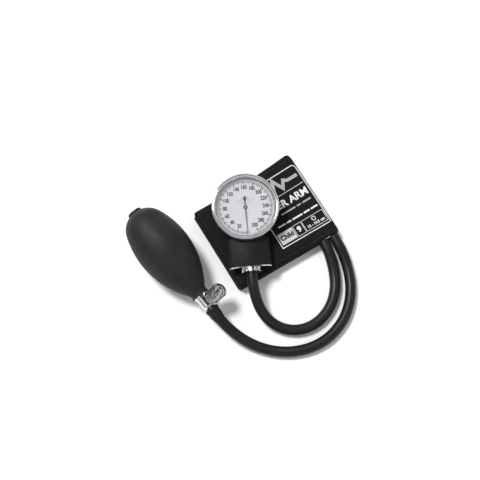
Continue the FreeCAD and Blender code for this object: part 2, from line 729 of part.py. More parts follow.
def movement_plates():
    base = new_body("base_plate")
    pad(base, circle(base, "XY_Plane", "0", "0", "base_plate_r", "base_plate_z"),
        "movement_plate")
    slot = rectangle("rock_axis_x-2.8", sector_spot.y + 0.85, "rock_axis_x+2.2",
                     "base_plate_r+1")
    cut(base, outline(base, "XY_Plane", slot, "base_plate_z-1"), "3", flip=True)
    top = new_body("top_plate")
    bridge = rectangle("-8.4", "-6", "8.4", "17.6", "2")
    pad(top, outline(top, "XY_Plane", bridge, "top_plate_z"), "movement_plate")
    for body, low, centre_r in ((base, "base_plate_z-1", "0.34"), (top, "top_plate_z-1", "0.6")):
        pivot = circle(body, "XY_Plane", "0", "0", centre_r, low)
        cut(body, pivot, "3", flip=True)
        pivot = circle(body, "XY_Plane", sector_spot.x, sector_spot.y, "0.34", low)
        cut(body, pivot, "3", flip=True)
        keep(body, gauge_place)
    over = "base_plate_z+movement_plate"
    posts("movement_pillars", gauge_place, [("7", "-4.8"), ("-7", "-4.8"), ("6.6", "15")],
          "1", over, "top_plate_z-(%s)" % over)
    spots = [polar("base_plate_r-1.5", degrees) for degrees in (20, 160, 240, 300)]
    posts("base_posts", gauge_place, spots, "1.1", "case_floor", "base_plate_z-case_floor")


def capsule():
    """Two corrugated discs joined at the rim, and the pusher on the upper one."""
    waves = [(0, 0.3), (4, 0.3), (5, 0.7), (7, 0.2), (9, 0.7), (11, 0.2), (13, 0.7),
             (14.5, 1.3)]
    lower = [(str(r), "capsule_base+%s" % z) for r, z in waves]
    lower.append(("capsule_r", "capsule_base+1.3"))
    upper = [(str(r), "capsule_base+capsule_height-%s" % z) for r, z in waves]
    upper.append(("capsule_r", "capsule_base+capsule_height-1.3"))
    for label, line, skin in (("capsule_bottom", lower, "+capsule_skin"),
                              ("capsule_top", upper, "-capsule_skin")):
        turned(label, gauge_place, line + [(r, z + skin) for r, z in reversed(line)])
    foot = "capsule_base+capsule_height-0.2"
    turned("capsule_pusher", gauge_place,
           disc_stack(foot, [("1.6", foot + "+0.4"), ("0.5", "rock_axis_z-0.4")]))
    turned("capsule_stem", gauge_place,
           disc_stack("case_floor", [("2.5", "capsule_base+0.25")]))


def hairspring():
    """Flat spiral of half turns whose centres alternate, each wider than the last."""
    start_r, growth, ribbon, half_turns = 1.2, 0.34, 0.1, 9
    outer_edges, inner_edges = [], []
    centre, side = 0.0, 1
    for index in range(half_turns):
        radius = start_r + growth * index
        for grow, edges in ((ribbon, outer_edges), (0.0, inner_edges)):
            reach = radius + grow
            edges.append(Part.Arc(Vector(centre + side * reach, 0, 0),
                                  Vector(centre, side * reach, 0),
                                  Vector(centre - side * reach, 0, 0)).toShape())
        centre += side * growth
        side = -side
    ends = []
    for index, end in ((0, 0), (-1, -1)):
        ends.append(Part.LineSegment(outer_edges[index].Vertexes[end].Point,
                                     inner_edges[index].Vertexes[end].Point).toShape())
    wire = Part.Wire(Part.__sortEdges__(outer_edges + inner_edges + ends))
    spring = doc.addObject("Part::Feature", "hairspring")
    spring.Label = "hairspring"
    spring.Shape = Part.Face(wire).extrude(Vector(0, 0, 0.4))
    return keep(spring, gauge_place * Placement(Vector(0, 0, value("top_plate_z") + 1),
                                                Rotation()))


# ---------------------------------------------------------------- bulb and valve
def bulb_curve(wall):
    """Points and arc radii of the bulb's half section, offset inwards by a wall."""
    side_r = "((bulb_widest-bulb_tip_r)^2+bulb_r^2-bulb_tip_r^2)/(2*(bulb_r-bulb_tip_r))"
    tip_r = "(bulb_tip_r-%s)" % wall
    join = "(%s-bulb_tip_r)" % side_r
    turn = "(2*atan((bulb_r-bulb_neck_r)/(bulb_neck_start-bulb_widest)))"
    front_r = "(bulb_front_r-%s)" % wall
    neck_arc_r = "((bulb_r-bulb_neck_r)/(1-cos(%s))-bulb_front_r)" % turn
    return {
        "tip": ("%s*(%s-bulb_r)/%s" % (tip_r, side_r, join),
                "bulb_tip_r-%s*(bulb_widest-bulb_tip_r)/%s" % (tip_r, join), tip_r, 1),
        "side": ("bulb_r-%s" % wall, "bulb_widest", "%s-%s" % (side_r, wall), 1),
        "front": ("bulb_r-bulb_front_r+%s*cos(%s)" % (front_r, turn),
                  "bulb_widest+%s*sin(%s)" % (front_r, turn), front_r, 1),
        "neck": ("bulb_neck_r", "bulb_neck_start", neck_arc_r, -1),
    }


def inflation_bulb():
    """Hollow rubber egg with a sleeve for the intake valve and a lipped neck."""
    body = new_body("inflation_bulb")
    skin = bulb_curve("0")
    boss_z = "bulb_tip_r-sqrt(bulb_tip_r^2-bulb_boss_r^2)"
    outside = [("0", "boss_face"), ("bulb_boss_r-0.6", "boss_face"),
               ("bulb_boss_r", "boss_face+0.6", "0.6", 1),
               ("bulb_boss_r", boss_z), skin["tip"], skin["side"], skin["front"],
               skin["neck"], ("bulb_neck_r", "bulb_length-1.4"),
               ("bulb_neck_r+0.7", "bulb_length-0.7"), ("bulb_neck_r+0.7", "bulb_length"),
               ("0", "bulb_length")]
    spin(body, outline(body, "XZ_Plane", outside))
    inner = bulb_curve("bulb_wall")
    sleeve_z = "bulb_tip_r-sqrt((bulb_tip_r-bulb_wall)^2-bulb_boss_r^2)"
    inside = [("0", "sleeve_length"), ("bulb_boss_r", "sleeve_length"),
              ("bulb_boss_r", sleeve_z), inner["tip"], inner["side"], inner["front"],
              ("neck_bore_r", "bulb_neck_start-1.5"), ("neck_bore_r", "bulb_length+1"),
              ("0", "bulb_length+1")]
    spin(body, outline(body, "XZ_Plane", inside), "Groove")
    cut(body, circle(body, "XY_Plane", "0", "0", "seat_r+0.05", "-2"), "12", flip=True)
    return keep(body, bulb_place)


def intake_valve():
    """Ball valve in the bulb's far end, which lets air in and not out."""
    turned("intake_seat", bulb_place, [
        ("1.2", "boss_face-0.8"), ("seat_r+1.2", "boss_face-0.8"),
        ("seat_r+1.2", "boss_face-0.05"), ("seat_r", "boss_face-0.05"),
        ("seat_r", "sleeve_length-0.2"), ("2.1", "sleeve_length-0.2"), ("2.1", "2.6"),
        ("1.2", "2.6")])
    turned("intake_screen", bulb_place,
           disc_stack("boss_face-0.6", [("1.15", "boss_face-0.3")]))
    turned("intake_retainer", bulb_place, ring("1", "2.08", "6.5", "7.6"))
    ball = doc.addObject("Part::Sphere", "intake_ball")
    ball.Label = "intake_ball"
    bind(ball, "Radius", "ball_r")
    return keep(ball, bulb_place * Placement(Vector(0, 0, value("ball_z")), Rotation()))


def release_valve():
    """Metal valve between bulb and hose: outlet check valve and side release screw."""
    body = new_body("valve_body")
    bore = "valve_bore_r"
    spin(body, outline(body, "XZ_Plane", [
        ("2.3", "76"), ("neck_bore_r-0.05", "76"), ("neck_bore_r-0.05", "bulb_length+0.05"),
        ("valve_r+1", "bulb_length+0.05"), ("valve_r+1", "bulb_length+1.2"),
        ("valve_r", "bulb_length+1.8"), ("valve_r", "screw_station+3.4"),
        ("valve_nose_r", "valve_end-1.6"), ("valve_nose_r", "valve_end"),
        ("barb_root_r", "valve_end"), ("barb_root_r", "valve_end+1.2"),
        ("barb_r", "valve_end+1.2"), ("barb_root_r", "valve_end+2.9"),
        ("barb_r", "valve_end+2.9"), ("barb_root_r", "valve_end+4.8"), (bore, "valve_end+4.8"),
        (bore, "83.2"), ("2.3", "83.2")]))
    boss = circle(body, "YZ_Plane", "0", "screw_station", "4.3", bore + "+0.5")
    pad(body, boss, "boss_top-valve_bore_r-0.5")
    hole = circle(body, "YZ_Plane", "0", "screw_station", "screw_r+0.05", "boss_top")
    cut(body, hole, "boss_top")
    keep(body, bulb_place)
    turned("outlet_seat", bulb_place, ring("1", "2.28", "76.1", "79.5"))
    turned("outlet_disc", bulb_place, disc_stack("79.55", [("1.9", "80.35")]))
    turned("outlet_stop", bulb_place, ring("1.2", "2.28", "81.1", "83.1"))
    across = Placement(Vector(0, 0, value("screw_station")), Rotation(Y_AXIS, 90))
    side = bulb_place * across
    turned("packing_nut", side, ring("screw_r+0.06", "4.6", "boss_top+0.05", "boss_top+1.1"))
    turned("valve_seal", side, disc_stack("1.6", [("1.1", "2.2"), ("1.8", "3.45")]))
    turned("valve_screw", side, disc_stack("3.5", [("screw_r", "knob_base+5")]))
    knob = new_body("valve_knob")
    spin(knob, outline(knob, "XZ_Plane", [
        ("screw_r+0.02", "knob_base"), ("knob_r-1", "knob_base"), ("knob_r", "knob_base+0.8"),
        ("knob_r", "knob_top-3.4"), ("knob_dome_r", "knob_top-knob_rise"),
        ("0", "knob_top", "(knob_dome_r^2+knob_rise^2)/(2*knob_rise)", 1),
        ("0", "knob_base+5.05"),
        ("screw_r+0.02", "knob_base+5.05")]))
    flute = circle(knob, "XY_Plane", "knob_r+0.15", "0", "0.42", "knob_base-0.5")
    flute_cut = cut(knob, flute, "knob_top-2.4-knob_base", flip=True)
    repeat_round(knob, flute_cut, flute, 28)
    keep(knob, side)


# ---------------------------------------------------------------- hoses
def rounded_path(route):
    """Straight runs joined by tangent arcs, each as large as its two runs allow."""
    edges, radii = [], []
    start = route[0]
    for before, corner, after in zip(route, route[1:], route[2:]):
        back, ahead = (before - corner).normalize(), (after - corner).normalize()
        shorter = min((before - corner).Length, (after - corner).Length)
        setback = 0.45 * shorter
        half_turn = (math.pi - back.getAngle(ahead)) / 2
        radius = setback / math.tan(half_turn)
        radii.append(radius)
        first, last = corner + back * setback, corner + ahead * setback
        inward = (back + ahead).normalize()
        middle = corner + inward * (radius / math.cos(half_turn) - radius)
        edges.append(Part.LineSegment(start, first).toShape())
        edges.append(Part.Arc(first, middle, last).toShape())
        start = last
    edges.append(Part.LineSegment(start, route[-1]).toShape())
    return Part.Wire(edges), radii


def tube(label, place, route, outer, bore, least_diameters):
    """Hollow tube swept along a route of hand-placed points."""
    wire, radii = rounded_path(route)
    spine = doc.addObject("Part::Feature", label + "_path")
    spine.Shape = wire
    facing = Placement(route[0], Rotation(Z_AXIS, route[1] - route[0]))
    sweeps = []
    for name, radius in (("outside", outer), ("bore", bore)):
        section = doc.addObject("Part::Circle", "%s_%s_section" % (label, name))
        bind(section, "Radius", radius)
        section.Placement = facing
        sweep = doc.addObject("Part::Sweep", "%s_%s" % (label, name))
        sweep.Sections = [section]
        sweep.Spine = (spine, ["Edge%d" % (index + 1) for index in range(len(wire.Edges))])
        sweep.Solid = True
        sweep.Frenet = False
        sweeps.append(sweep)
    hollow = doc.addObject("Part::Cut", label)
    hollow.Label = label
    hollow.Base, hollow.Tool = sweeps
    doc.recompute()
    area = math.pi * (value(outer) ** 2 - value(bore) ** 2)
    ratio = hollow.Shape.Volume / (area * wire.Length)
    diameter = 2 * value(outer)
    print("%s: length %.1f, volume over section x length %.4f, radii %s" % (
        label, wire.Length, ratio, " ".join("%.0f" % radius for radius in radii)))
    if abs(ratio - 1) > 0.01 or min(radii) < least_diameters * diameter:
        raise RuntimeError("%s doesn't sweep well" % label)
    return keep(hollow, place)


def hoses():
    """Both hoses lie on the table and end at the cuff's near edge."""
    # each hose leaves its fitting along the fitting's own axis
    neck_y, neck_z = -value("neck_end+nut_face+0.05"), value("nipple_z")
    gauge_route = [gauge_place * Vector(0, y, neck_z) for y in (neck_y, neck_y - HOSE_LEAD)]
    valve_z = value("valve_end+0.05")
    bulb_route = [bulb_place * Vector(0, 0, z) for z in (valve_z, valve_z + HOSE_LEAD)]
    port_y, port_z = -value("cuff_half_width") - 0.5, value("port_z")
    gauge_route += [Vector(*point) for point in GAUGE_HOSE]
    gauge_route.append(Vector(value("gauge_port_x"), port_y, port_z))
    bulb_route += [Vector(*point) for point in BULB_HOSE]
    bulb_route.append(Vector(value("bulb_port_x"), port_y, port_z))
    tube("gauge_hose", Placement(), gauge_route, "hose_r", "hose_bore_r", HOSE_LEAST_BEND)
    tube("bulb_hose", Placement(), bulb_route, "hose_r", "hose_bore_r", HOSE_LEAST_BEND)


cuff()
gauge_loop()
gauge_case()
end_plate()
gauge_inlet()
clip()
bezel_and_lens()
dial_and_needle()
arbor("needle_arbor", Vector(), "needle_base+needle_thick+0.7", False)
arbor("sector_arbor", sector_spot, "top_plate_z+movement_plate-0.05", True)
needle_pinion()
sector_gear()
rocking_shaft()
movement_plates()
capsule()
hairspring()
inflation_bulb()
intake_valve()
release_valve()
hoses()

doc.recompute()
for thing in doc.Objects:
    if "Invalid" in thing.State or "Error" in thing.State:
        raise RuntimeError("%s is %s" % (thing.Label, thing.State))
os.makedirs("parts", exist_ok=True)
for thing in PARTS:
    if thing.Shape.isNull() or not thing.Shape.isValid():
        raise RuntimeError("%s has no valid shape" % thing.Label)
    thing.Shape.exportStep("parts/%s.step" % thing.Label)
print("%d sub-parts written" % len(PARTS))
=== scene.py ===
import math

import bmesh
import bpy
from mathutils import Matrix, Vector, noise


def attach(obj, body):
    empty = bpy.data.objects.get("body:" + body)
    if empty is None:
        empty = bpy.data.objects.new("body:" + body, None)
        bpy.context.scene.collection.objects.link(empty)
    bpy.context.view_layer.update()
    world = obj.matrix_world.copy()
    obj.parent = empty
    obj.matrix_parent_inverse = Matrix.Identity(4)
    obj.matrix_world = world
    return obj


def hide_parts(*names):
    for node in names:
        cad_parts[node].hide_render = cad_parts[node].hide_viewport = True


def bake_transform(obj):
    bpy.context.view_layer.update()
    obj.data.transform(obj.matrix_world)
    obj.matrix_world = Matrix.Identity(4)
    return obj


MM = 0.001
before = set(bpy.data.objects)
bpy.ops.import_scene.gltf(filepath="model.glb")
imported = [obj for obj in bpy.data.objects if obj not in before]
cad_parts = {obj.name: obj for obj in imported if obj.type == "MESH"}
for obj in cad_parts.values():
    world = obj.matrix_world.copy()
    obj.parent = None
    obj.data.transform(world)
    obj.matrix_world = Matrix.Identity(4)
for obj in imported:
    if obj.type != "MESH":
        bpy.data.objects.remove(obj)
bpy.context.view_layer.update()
scene = bpy.context.scene


def mm(*numbers):
    return Vector(numbers) * MM


# ---------------------------------------------------------------- camera
def look(location, target, up):
    """Matrix that points -Z at the target with the given up direction."""
    ahead = (target - location).normalized()
    right = ahead.cross(up).normalized()
    over = right.cross(ahead)
    turn = Matrix((right, over, -ahead)).transposed()
    return Matrix.Translation(location) @ turn.to_4x4()


lens = bpy.data.cameras.new("camera")
lens.lens = 81.9
lens.sensor_width = 36
camera = bpy.data.objects.new("camera", lens)
scene.collection.objects.link(camera)
camera.matrix_world = look(mm(-167.2, -237.4, 856.0), mm(-23.9, 1.0, 0), Vector((0.515, 0.857, 0)))
scene.camera = camera

# places of the gauge and of the bulb, as in the CAD
GAUGE_X, GAUGE_Y, GAUGE_Z = -10.6, 15.0, 18.0
GAUGE_HEADING = Matrix.Rotation(math.radians(-25.5), 4, "Z")
GAUGE = (Matrix.Translation(mm(GAUGE_X, GAUGE_Y, GAUGE_Z)) @ GAUGE_HEADING
         @ Matrix.Rotation(math.radians(6.0), 4, "X"))
BULB = (Matrix.Translation(mm(-89.2, 57.0, 26.7))
        @ Matrix.Rotation(math.radians(8.0), 4, "Z")
        @ Matrix.Rotation(math.radians(96.1), 4, "X")
        @ Matrix.Rotation(math.radians(40.0), 4, "Z"))


# ---------------------------------------------------------------- materials
# range in which nearly all of a noise texture's values lie
NOISE_LOW, NOISE_HIGH = 0.3, 0.7


class Shader:
    """A principled material with helpers for its procedural detail."""

    def __init__(self, name, rough, metal=0.0, spec=0.5, sheen=0.0, sheen_rough=0.5,
                 alpha=1.0):
        self.material = bpy.data.materials.new(name)
        self.material.use_nodes = True
        self.tree = self.material.node_tree
        self.shader = self.tree.nodes["Principled BSDF"]
        self.set("Roughness", rough)
        self.set("Metallic", metal)
        self.set("Specular IOR Level", spec)
        self.set("Sheen Weight", sheen)
        self.set("Sheen Roughness", sheen_rough)
        self.set("Alpha", alpha)
        self.place = self.node("ShaderNodeTexCoord").outputs["Object"]

    def node(self, kind, **settings):
        made = self.tree.nodes.new(kind)
        for key, entry in settings.items():
            setattr(made, key, entry)
        return made

    def set(self, socket, number):
        self.shader.inputs[socket].default_value = number

    def link(self, source, target):
        self.tree.links.new(source, target)

    def turned(self, degrees):
        """Coordinates turned about Z."""
        mapping = self.node("ShaderNodeMapping")
        mapping.inputs["Rotation"].default_value[2] = math.radians(degrees)
        self.link(self.place, mapping.inputs["Vector"])
        return mapping.outputs["Vector"]

    def stretched(self, matrix, scale):
        """Coordinates of a turned piece's own frame, scaled along its axes."""
        mapping = self.node("ShaderNodeMapping")
        back = matrix.inverted()
        mapping.inputs["Location"].default_value = back.to_translation()
        mapping.inputs["Rotation"].default_value = back.to_euler()
        self.link(self.place, mapping.inputs["Vector"])
        scaler = self.node("ShaderNodeVectorMath", operation="MULTIPLY")
        self.link(mapping.outputs["Vector"], scaler.inputs[0])
        scaler.inputs[1].default_value = scale
        return scaler.outputs["Vector"]

    def noise(self, scale, detail=4.0, rough=0.55, place=None):
        made = self.node("ShaderNodeTexNoise")
        made.inputs["Scale"].default_value = scale
        made.inputs["Detail"].default_value = detail
        made.inputs["Roughness"].default_value = rough
        self.link(place or self.place, made.inputs["Vector"])
        return made.outputs["Fac"]

    def cells(self, scale):
        made = self.node("ShaderNodeTexVoronoi")
        made.inputs["Scale"].default_value = scale
        self.link(self.place, made.inputs["Vector"])
        return made.outputs["Distance"]

    def ribs(self, period_mm, degrees, distortion):
        """Parallel threads; Blender's wave texture repeats every 2 pi / 20 of a unit."""
        made = self.node("ShaderNodeTexWave")
        made.inputs["Scale"].default_value = 2 * math.pi / (20 * period_mm * MM)
        made.inputs["Distortion"].default_value = distortion
        made.inputs["Detail Scale"].default_value = 2.0
        self.link(self.turned(degrees), made.inputs["Vector"])
        return made.outputs["Fac"]

    def math(self, operation, first, second):
        made = self.node("ShaderNodeMath", operation=operation)
        for index, entry in enumerate((first, second)):
            if isinstance(entry, (int, float)):
                made.inputs[index].default_value = entry
            else:
                self.link(entry, made.inputs[index])
        return made.outputs[0]

    def ramp(self, source, low, high, start, end):
        made = self.node("ShaderNodeValToRGB")
        made.color_ramp.elements[0].position = start
        made.color_ramp.elements[1].position = end
        made.color_ramp.elements[0].color = (*low, 1)
        made.color_ramp.elements[1].color = (*high, 1)
        self.link(source, made.inputs["Fac"])
        return made.outputs["Color"]

    def colour(self, source, low, high, start=NOISE_LOW, end=NOISE_HIGH):
        self.link(self.ramp(source, low, high, start, end), self.shader.inputs["Base Color"])

    def gloss(self, source, low, high):
        """Roughness that varies between two values."""
        made = self.node("ShaderNodeMapRange")
        made.inputs["From Min"].default_value = NOISE_LOW
        made.inputs["From Max"].default_value = NOISE_HIGH
        made.inputs["To Min"].default_value = low
        made.inputs["To Max"].default_value = high
        self.link(source, made.inputs["Value"])
        self.link(made.outputs["Result"], self.shader.inputs["Roughness"])

    def bump(self, source, height_mm, strength, under=None):
        made = self.node("ShaderNodeBump")
        made.inputs["Distance"].default_value = height_mm * MM
        made.inputs["Strength"].default_value = strength
        self.link(source, made.inputs["Height"])
        if under is not None:
            self.link(under, made.inputs["Normal"])
        self.link(made.outputs["Normal"], self.shader.inputs["Normal"])
        return made.outputs["Normal"]


def woven(name, dark, light, period=1.05):
    """Twill cloth: diagonal ribs crossed by finer threads, with faint wear."""
    cloth = Shader(name, 0.78, spec=0.10, sheen=0.035, sheen_rough=0.45)
    twill = cloth.ribs(period, 52, 0.4)
    cross = cloth.ribs(period * 0.55, -38, 0.4)
    weave = cloth.math("ADD", cloth.math("MULTIPLY", twill, 0.7),
                       cloth.math("MULTIPLY", cross, 0.3))
    worn = cloth.noise(55, 6)
    tone = cloth.math("ADD", cloth.math("MULTIPLY", weave, 0.55),
                      cloth.math("MULTIPLY", worn, 0.45))
    cloth.colour(tone, dark, light, 0.25, 0.8)
    cloth.gloss(worn, 0.68, 0.88)
    under = cloth.bump(weave, 0.12, 0.8)
    cloth.bump(cloth.noise(420, 3), 0.07, 0.5, under)
    return cloth.material


def rubber(name, dark, light, rough, grain=900, height=0.035, spec=0.45):
    """Moulded rubber: fine grain, soft unevenness and a trace of dust."""
    skin = Shader(name, rough, spec=spec)
    dust = skin.noise(38, 7, 0.6)
    skin.colour(dust, dark, light, 0.3, 0.75)
    skin.gloss(skin.noise(90, 5), rough - 0.06, rough + 0.08)
    under = skin.bump(skin.noise(grain, 4), height, 0.6)
    skin.bump(skin.noise(60, 2), 0.12, 0.25, under)
    return skin.material


def metal(name, dark, light, low, high, grain=700, height=0.012, streaks=None, mottle=70):
    """Metal with smears, painted reflections, or brushed streaks along a turned piece's axes."""
    plate = Shader(name, low, 1.0)
    if streaks is None:
        smear_and_painted_reflection = plate.noise(mottle, 6, 0.6)
    else:
        smear_and_painted_reflection = plate.noise(26, 5, 0.6, plate.stretched(*streaks))
    plate.colour(smear_and_painted_reflection, dark, light)
    plate.gloss(smear_and_painted_reflection, low, high)
    plate.bump(plate.noise(grain, 3), height, 0.35)
    return plate.material


NYLON = woven("nylon", (0.003, 0.003, 0.003), (0.0145, 0.0145, 0.015))
WEBBING = woven("webbing", (0.006, 0.006, 0.007), (0.03, 0.03, 0.033), 1.4)
HOSE = rubber("hose_rubber", (0.003, 0.003, 0.003), (0.008, 0.008, 0.008), 0.40, 700, 0.03, 0.30)
BULB_RUBBER = rubber("bulb_rubber", (0.010, 0.010, 0.010), (0.021, 0.021, 0.021), 0.55,
                     spec=0.24)
GASKET = rubber("gasket_rubber", (0.02, 0.02, 0.02), (0.04, 0.04, 0.04), 0.6)
BLADDER = rubber("bladder_rubber", (0.03, 0.03, 0.03), (0.06, 0.06, 0.06), 0.55)
CHROME = metal("chrome", (0.60, 0.61, 0.62), (0.80, 0.81, 0.82), 0.05, 0.12)
BRASS = metal("brass", (0.55, 0.40, 0.16), (0.80, 0.62, 0.30), 0.22, 0.38)
BRONZE = metal("bronze", (0.50, 0.30, 0.14), (0.72, 0.48, 0.26), 0.28, 0.42)
COPPER = metal("copper", (0.05, 0.028, 0.018), (0.19, 0.09, 0.06), 0.3, 0.42)
# knurled chrome: its near-black and bright patches of base colour are painted reflections of dark
# surroundings
CHROME_PAINTED_REFLECTIONS = metal("chrome_painted_reflections", (0.02, 0.02, 0.022), (0.85, 0.86, 0.88), 0.08, 0.24,
                    520, 0.16, mottle=430)
STEEL = metal("spring_steel", (0.42, 0.42, 0.44), (0.62, 0.62, 0.64), 0.24, 0.4,
              streaks=(GAUGE, (1, 14, 1)))


def enamel():
    paint = Shader("black_enamel", 0.3, spec=0.16)
    wear = paint.noise(48, 7, 0.62)
    paint.colour(wear, (0.006, 0.006, 0.006), (0.013, 0.013, 0.013), 0.35, 0.75)
    paint.gloss(paint.noise(120, 5), 0.50, 0.64)
    under = paint.bump(paint.noise(520, 2), 0.03, 0.5)
    paint.bump(paint.cells(900), 0.012, 0.35, under)
    return paint.material


def dial_paint():
    paint = Shader("dial_white", 0.42, spec=0.4)
    paint.colour(paint.noise(30, 6), (0.47, 0.475, 0.50), (0.535, 0.54, 0.56))
    paint.bump(paint.noise(1500, 2), 0.008, 0.3)
    return paint.material


def plain(name, dark, light, rough, scale=300, height=0.01, **more):
    """Ink, thread or painted surface with fine spots."""
    ink = Shader(name, rough, **more)
    spots = ink.noise(scale, 5)
    ink.colour(spots, dark, light)
    ink.gloss(spots, rough - 0.05, rough + 0.05)
    ink.bump(spots, height, 0.4)
    return ink.material


def tape(name, scale, height, dark, light):
    """Hook or loop tape with a rough pile."""
    pile = Shader(name, 0.85, spec=0.15, sheen=0.1, sheen_rough=0.6)
    tufts = pile.math("ADD", pile.cells(scale), pile.math("MULTIPLY", pile.noise(scale, 4), 0.8))
    pile.colour(tufts, dark, light, 0.3, 1.0)
    pile.bump(tufts, height, 1.0)
    return pile.material


ENAMEL = enamel()
DIAL = dial_paint()
BLACK_INK = plain("black_ink", (0.006, 0.006, 0.007), (0.02, 0.02, 0.022), 0.6, spec=0.2)
GREY_INK = plain("grey_ink", (0.26, 0.28, 0.30), (0.38, 0.40, 0.43), 0.5)
RED_INK = plain("red_ink", (0.50, 0.22, 0.22), (0.62, 0.32, 0.32), 0.5)
NEEDLE = plain("needle_black", (0.012, 0.012, 0.013), (0.03, 0.03, 0.03), 0.35)
PRINT = plain("white_print", (0.52, 0.52, 0.52), (0.84, 0.84, 0.84), 0.7, 700, 0.04)
SILVER_PRINT = plain("silver_print", (0.27, 0.28, 0.28), (0.40, 0.41, 0.41), 0.6, 700, 0.04)
BOX_PRINT = plain("box_print", (0.42, 0.42, 0.42), (0.62, 0.62, 0.62), 0.7, 700, 0.04)
THREAD = plain("thread", (0.010, 0.010, 0.011), (0.032, 0.032, 0.034), 0.75, 1800, 0.05)
HOOK = tape("hook_tape", 900, 0.5, (0.008, 0.008, 0.009), (0.035, 0.035, 0.036))
LOOP = tape("loop_tape", 500, 0.6, (0.010, 0.010, 0.011), (0.045, 0.045, 0.048))
# light grey for the painted highlight at the gauge hose's exit
PAINTED_HIGHLIGHT_GREY = plain("painted_highlight_grey", (0.42, 0.42, 0.41), (0.62, 0.62, 0.60), 0.5)


def glass():
    clear = Shader("glass", 0.03, spec=0.5, alpha=0.04)
    clear.colour(clear.noise(40, 3), (0.86, 0.89, 0.93), (0.93, 0.95, 0.98))
    clear.gloss(clear.noise(70, 6), 0.02, 0.07)
    return clear.material


GLASS = glass()


# ---------------------------------------------------------------- mesh helpers
def put(name, mesh, material, body, smooth=True, crease=35):
    """Link a mesh as a piece that rides on a body; crease is the sharp angle in degrees."""
    piece = bpy.data.objects.new(name, mesh)
    scene.collection.objects.link(piece)
    mesh.materials.append(material)
    if smooth:
        mesh.shade_smooth()
        mesh.set_sharp_from_angle(angle=math.radians(crease))
    if body:
        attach(piece, body)
    return piece


def mesh_of(name, points, faces):
    """Mesh from points in metres."""
    mesh = bpy.data.meshes.new(name)
    mesh.from_pydata([tuple(point) for point in points], [], faces)
    mesh.validate()
    mesh.update()
    return mesh


def mend(mesh, merge=0.0, thin=0.0, outward=True):
    """Merge points, drop thin faces and turn the faces outward, distances in metres."""
    work = bmesh.new()
    work.from_mesh(mesh)
    if merge:
        bmesh.ops.remove_doubles(work, verts=work.verts, dist=merge)
    if thin:
        bmesh.ops.dissolve_degenerate(work, edges=work.edges, dist=thin)
    if outward:
        bmesh.ops.recalc_face_normals(work, faces=work.faces)
    work.to_mesh(mesh)
    work.free()
    return mesh


def lathe(name, profile, place, turns=144, shape=None):
    """Closed solid of revolution: a closed (radius, height) outline in mm."""
    points, faces = [], []
    count = len(profile)
    for step in range(turns):
        angle = 2 * math.pi * step / turns
        for radius, height in profile:
            if shape:
                radius = shape(radius, height, angle)
            points.append(place @ mm(radius * math.cos(angle), radius * math.sin(angle),
                                     height))
    for step in range(turns):
        this, after = step * count, (step + 1) % turns * count
        for index in range(count):
            follow = (index + 1) % count
            faces.append((this + index, after + index, after + follow, this + follow))
    return mend(mesh_of(name, points, faces), merge=1e-7, thin=1e-8)


def arc(centre, radius, start, end, steps):
    """Points of an arc in the (radius, height) plane, angles in degrees."""
    turn = [math.radians(start + (end - start) * step / steps) for step in range(steps + 1)]
    return [(centre[0] + radius * math.cos(a), centre[1] + radius * math.sin(a)) for a in turn]


def ribbon(path, width, closed=False):
    """Flat strip along a 2D path, as a list of quads in 2D."""
    count = len(path)
    sides = []
    for index in range(count):
        before = path[index - 1] if index or closed else path[index]
        after = path[(index + 1) % count] if index < count - 1 or closed else path[index]
        back = Vector(path[index]) - Vector(before)
        ahead = Vector(after) - Vector(path[index])
        back = back.normalized() if back.length else ahead.normalized()
        ahead = ahead.normalized() if ahead.length else back
        across = Vector((-(back + ahead).y, (back + ahead).x)).normalized()
        spread = width / 2 / max(0.35, across.dot(Vector((-ahead.y, ahead.x))))
        here = Vector(path[index])
        sides.append((here - across * spread, here + across * spread))
    quads = []
    for index in range(count if closed else count - 1):
        first, second = sides[index], sides[(index + 1) % count]
        quads.append((first[0], second[0], second[1], first[1]))
    return quads


def dense(path, step, closed=False):
    """The path with no run longer than a step."""
    points = []
    ends = path[1:] + (path[:1] if closed else [])
    for start, end in zip(path, ends):
        start, end = Vector(start), Vector(end)
        parts = max(1, math.ceil((end - start).length / step))
        points += [tuple(start.lerp(end, part / parts)) for part in range(parts)]
    if not closed:
        points.append(tuple(path[-1]))
    return points


def rounded(x0, y0, x1, y1, radius, steps):
    """Outline of a rectangle with rounded corners."""
    corners = [(x1 - radius, y0 + radius, -90), (x1 - radius, y1 - radius, 0),
               (x0 + radius, y1 - radius, 90), (x0 + radius, y0 + radius, 180)]
    path = []
    for x, y, start in corners:
        path += arc((x, y), radius, start, start + 90, steps)
    return path


def quads_mesh(name, quads, lift):
    """Mesh of 2D quads, each point lifted into place by a function."""
    points, faces = [], []
    for quad in quads:
        faces.append(tuple(range(len(points), len(points) + 4)))
        points += [lift(corner[0], corner[1]) for corner in quad]
    return mend(mesh_of(name, points, faces), merge=2e-6, outward=False)


def letters(name, text, size, centre, lift, bold=0.0, align="CENTER", squeeze=1.0):
    """Printed letters as a mesh, lifted onto a surface."""
    font = bpy.data.curves.new(name, "FONT")
    font.body = text
    font.size = size
    font.offset = bold
    font.align_x = align
    font.align_y = "CENTER"
    font.resolution_u = 3
    holder = bpy.data.objects.new(name + "_text", font)
    scene.collection.objects.link(holder)
    bpy.context.view_layer.update()
    mesh = bpy.data.meshes.new_from_object(
        holder.evaluated_get(bpy.context.evaluated_depsgraph_get()))
    bpy.data.objects.remove(holder)
    bpy.data.curves.remove(font)
    for vertex in mesh.vertices:
        vertex.co = lift(centre[0] + squeeze * vertex.co.x, centre[1] + vertex.co.y)
    mesh.materials.clear()
    return mesh


def joined(name, meshes):
    """One mesh from several."""
    work = bmesh.new()
    for mesh in meshes:
        work.from_mesh(mesh)
    whole = bpy.data.meshes.new(name)
    work.to_mesh(whole)
    work.free()
    return whole


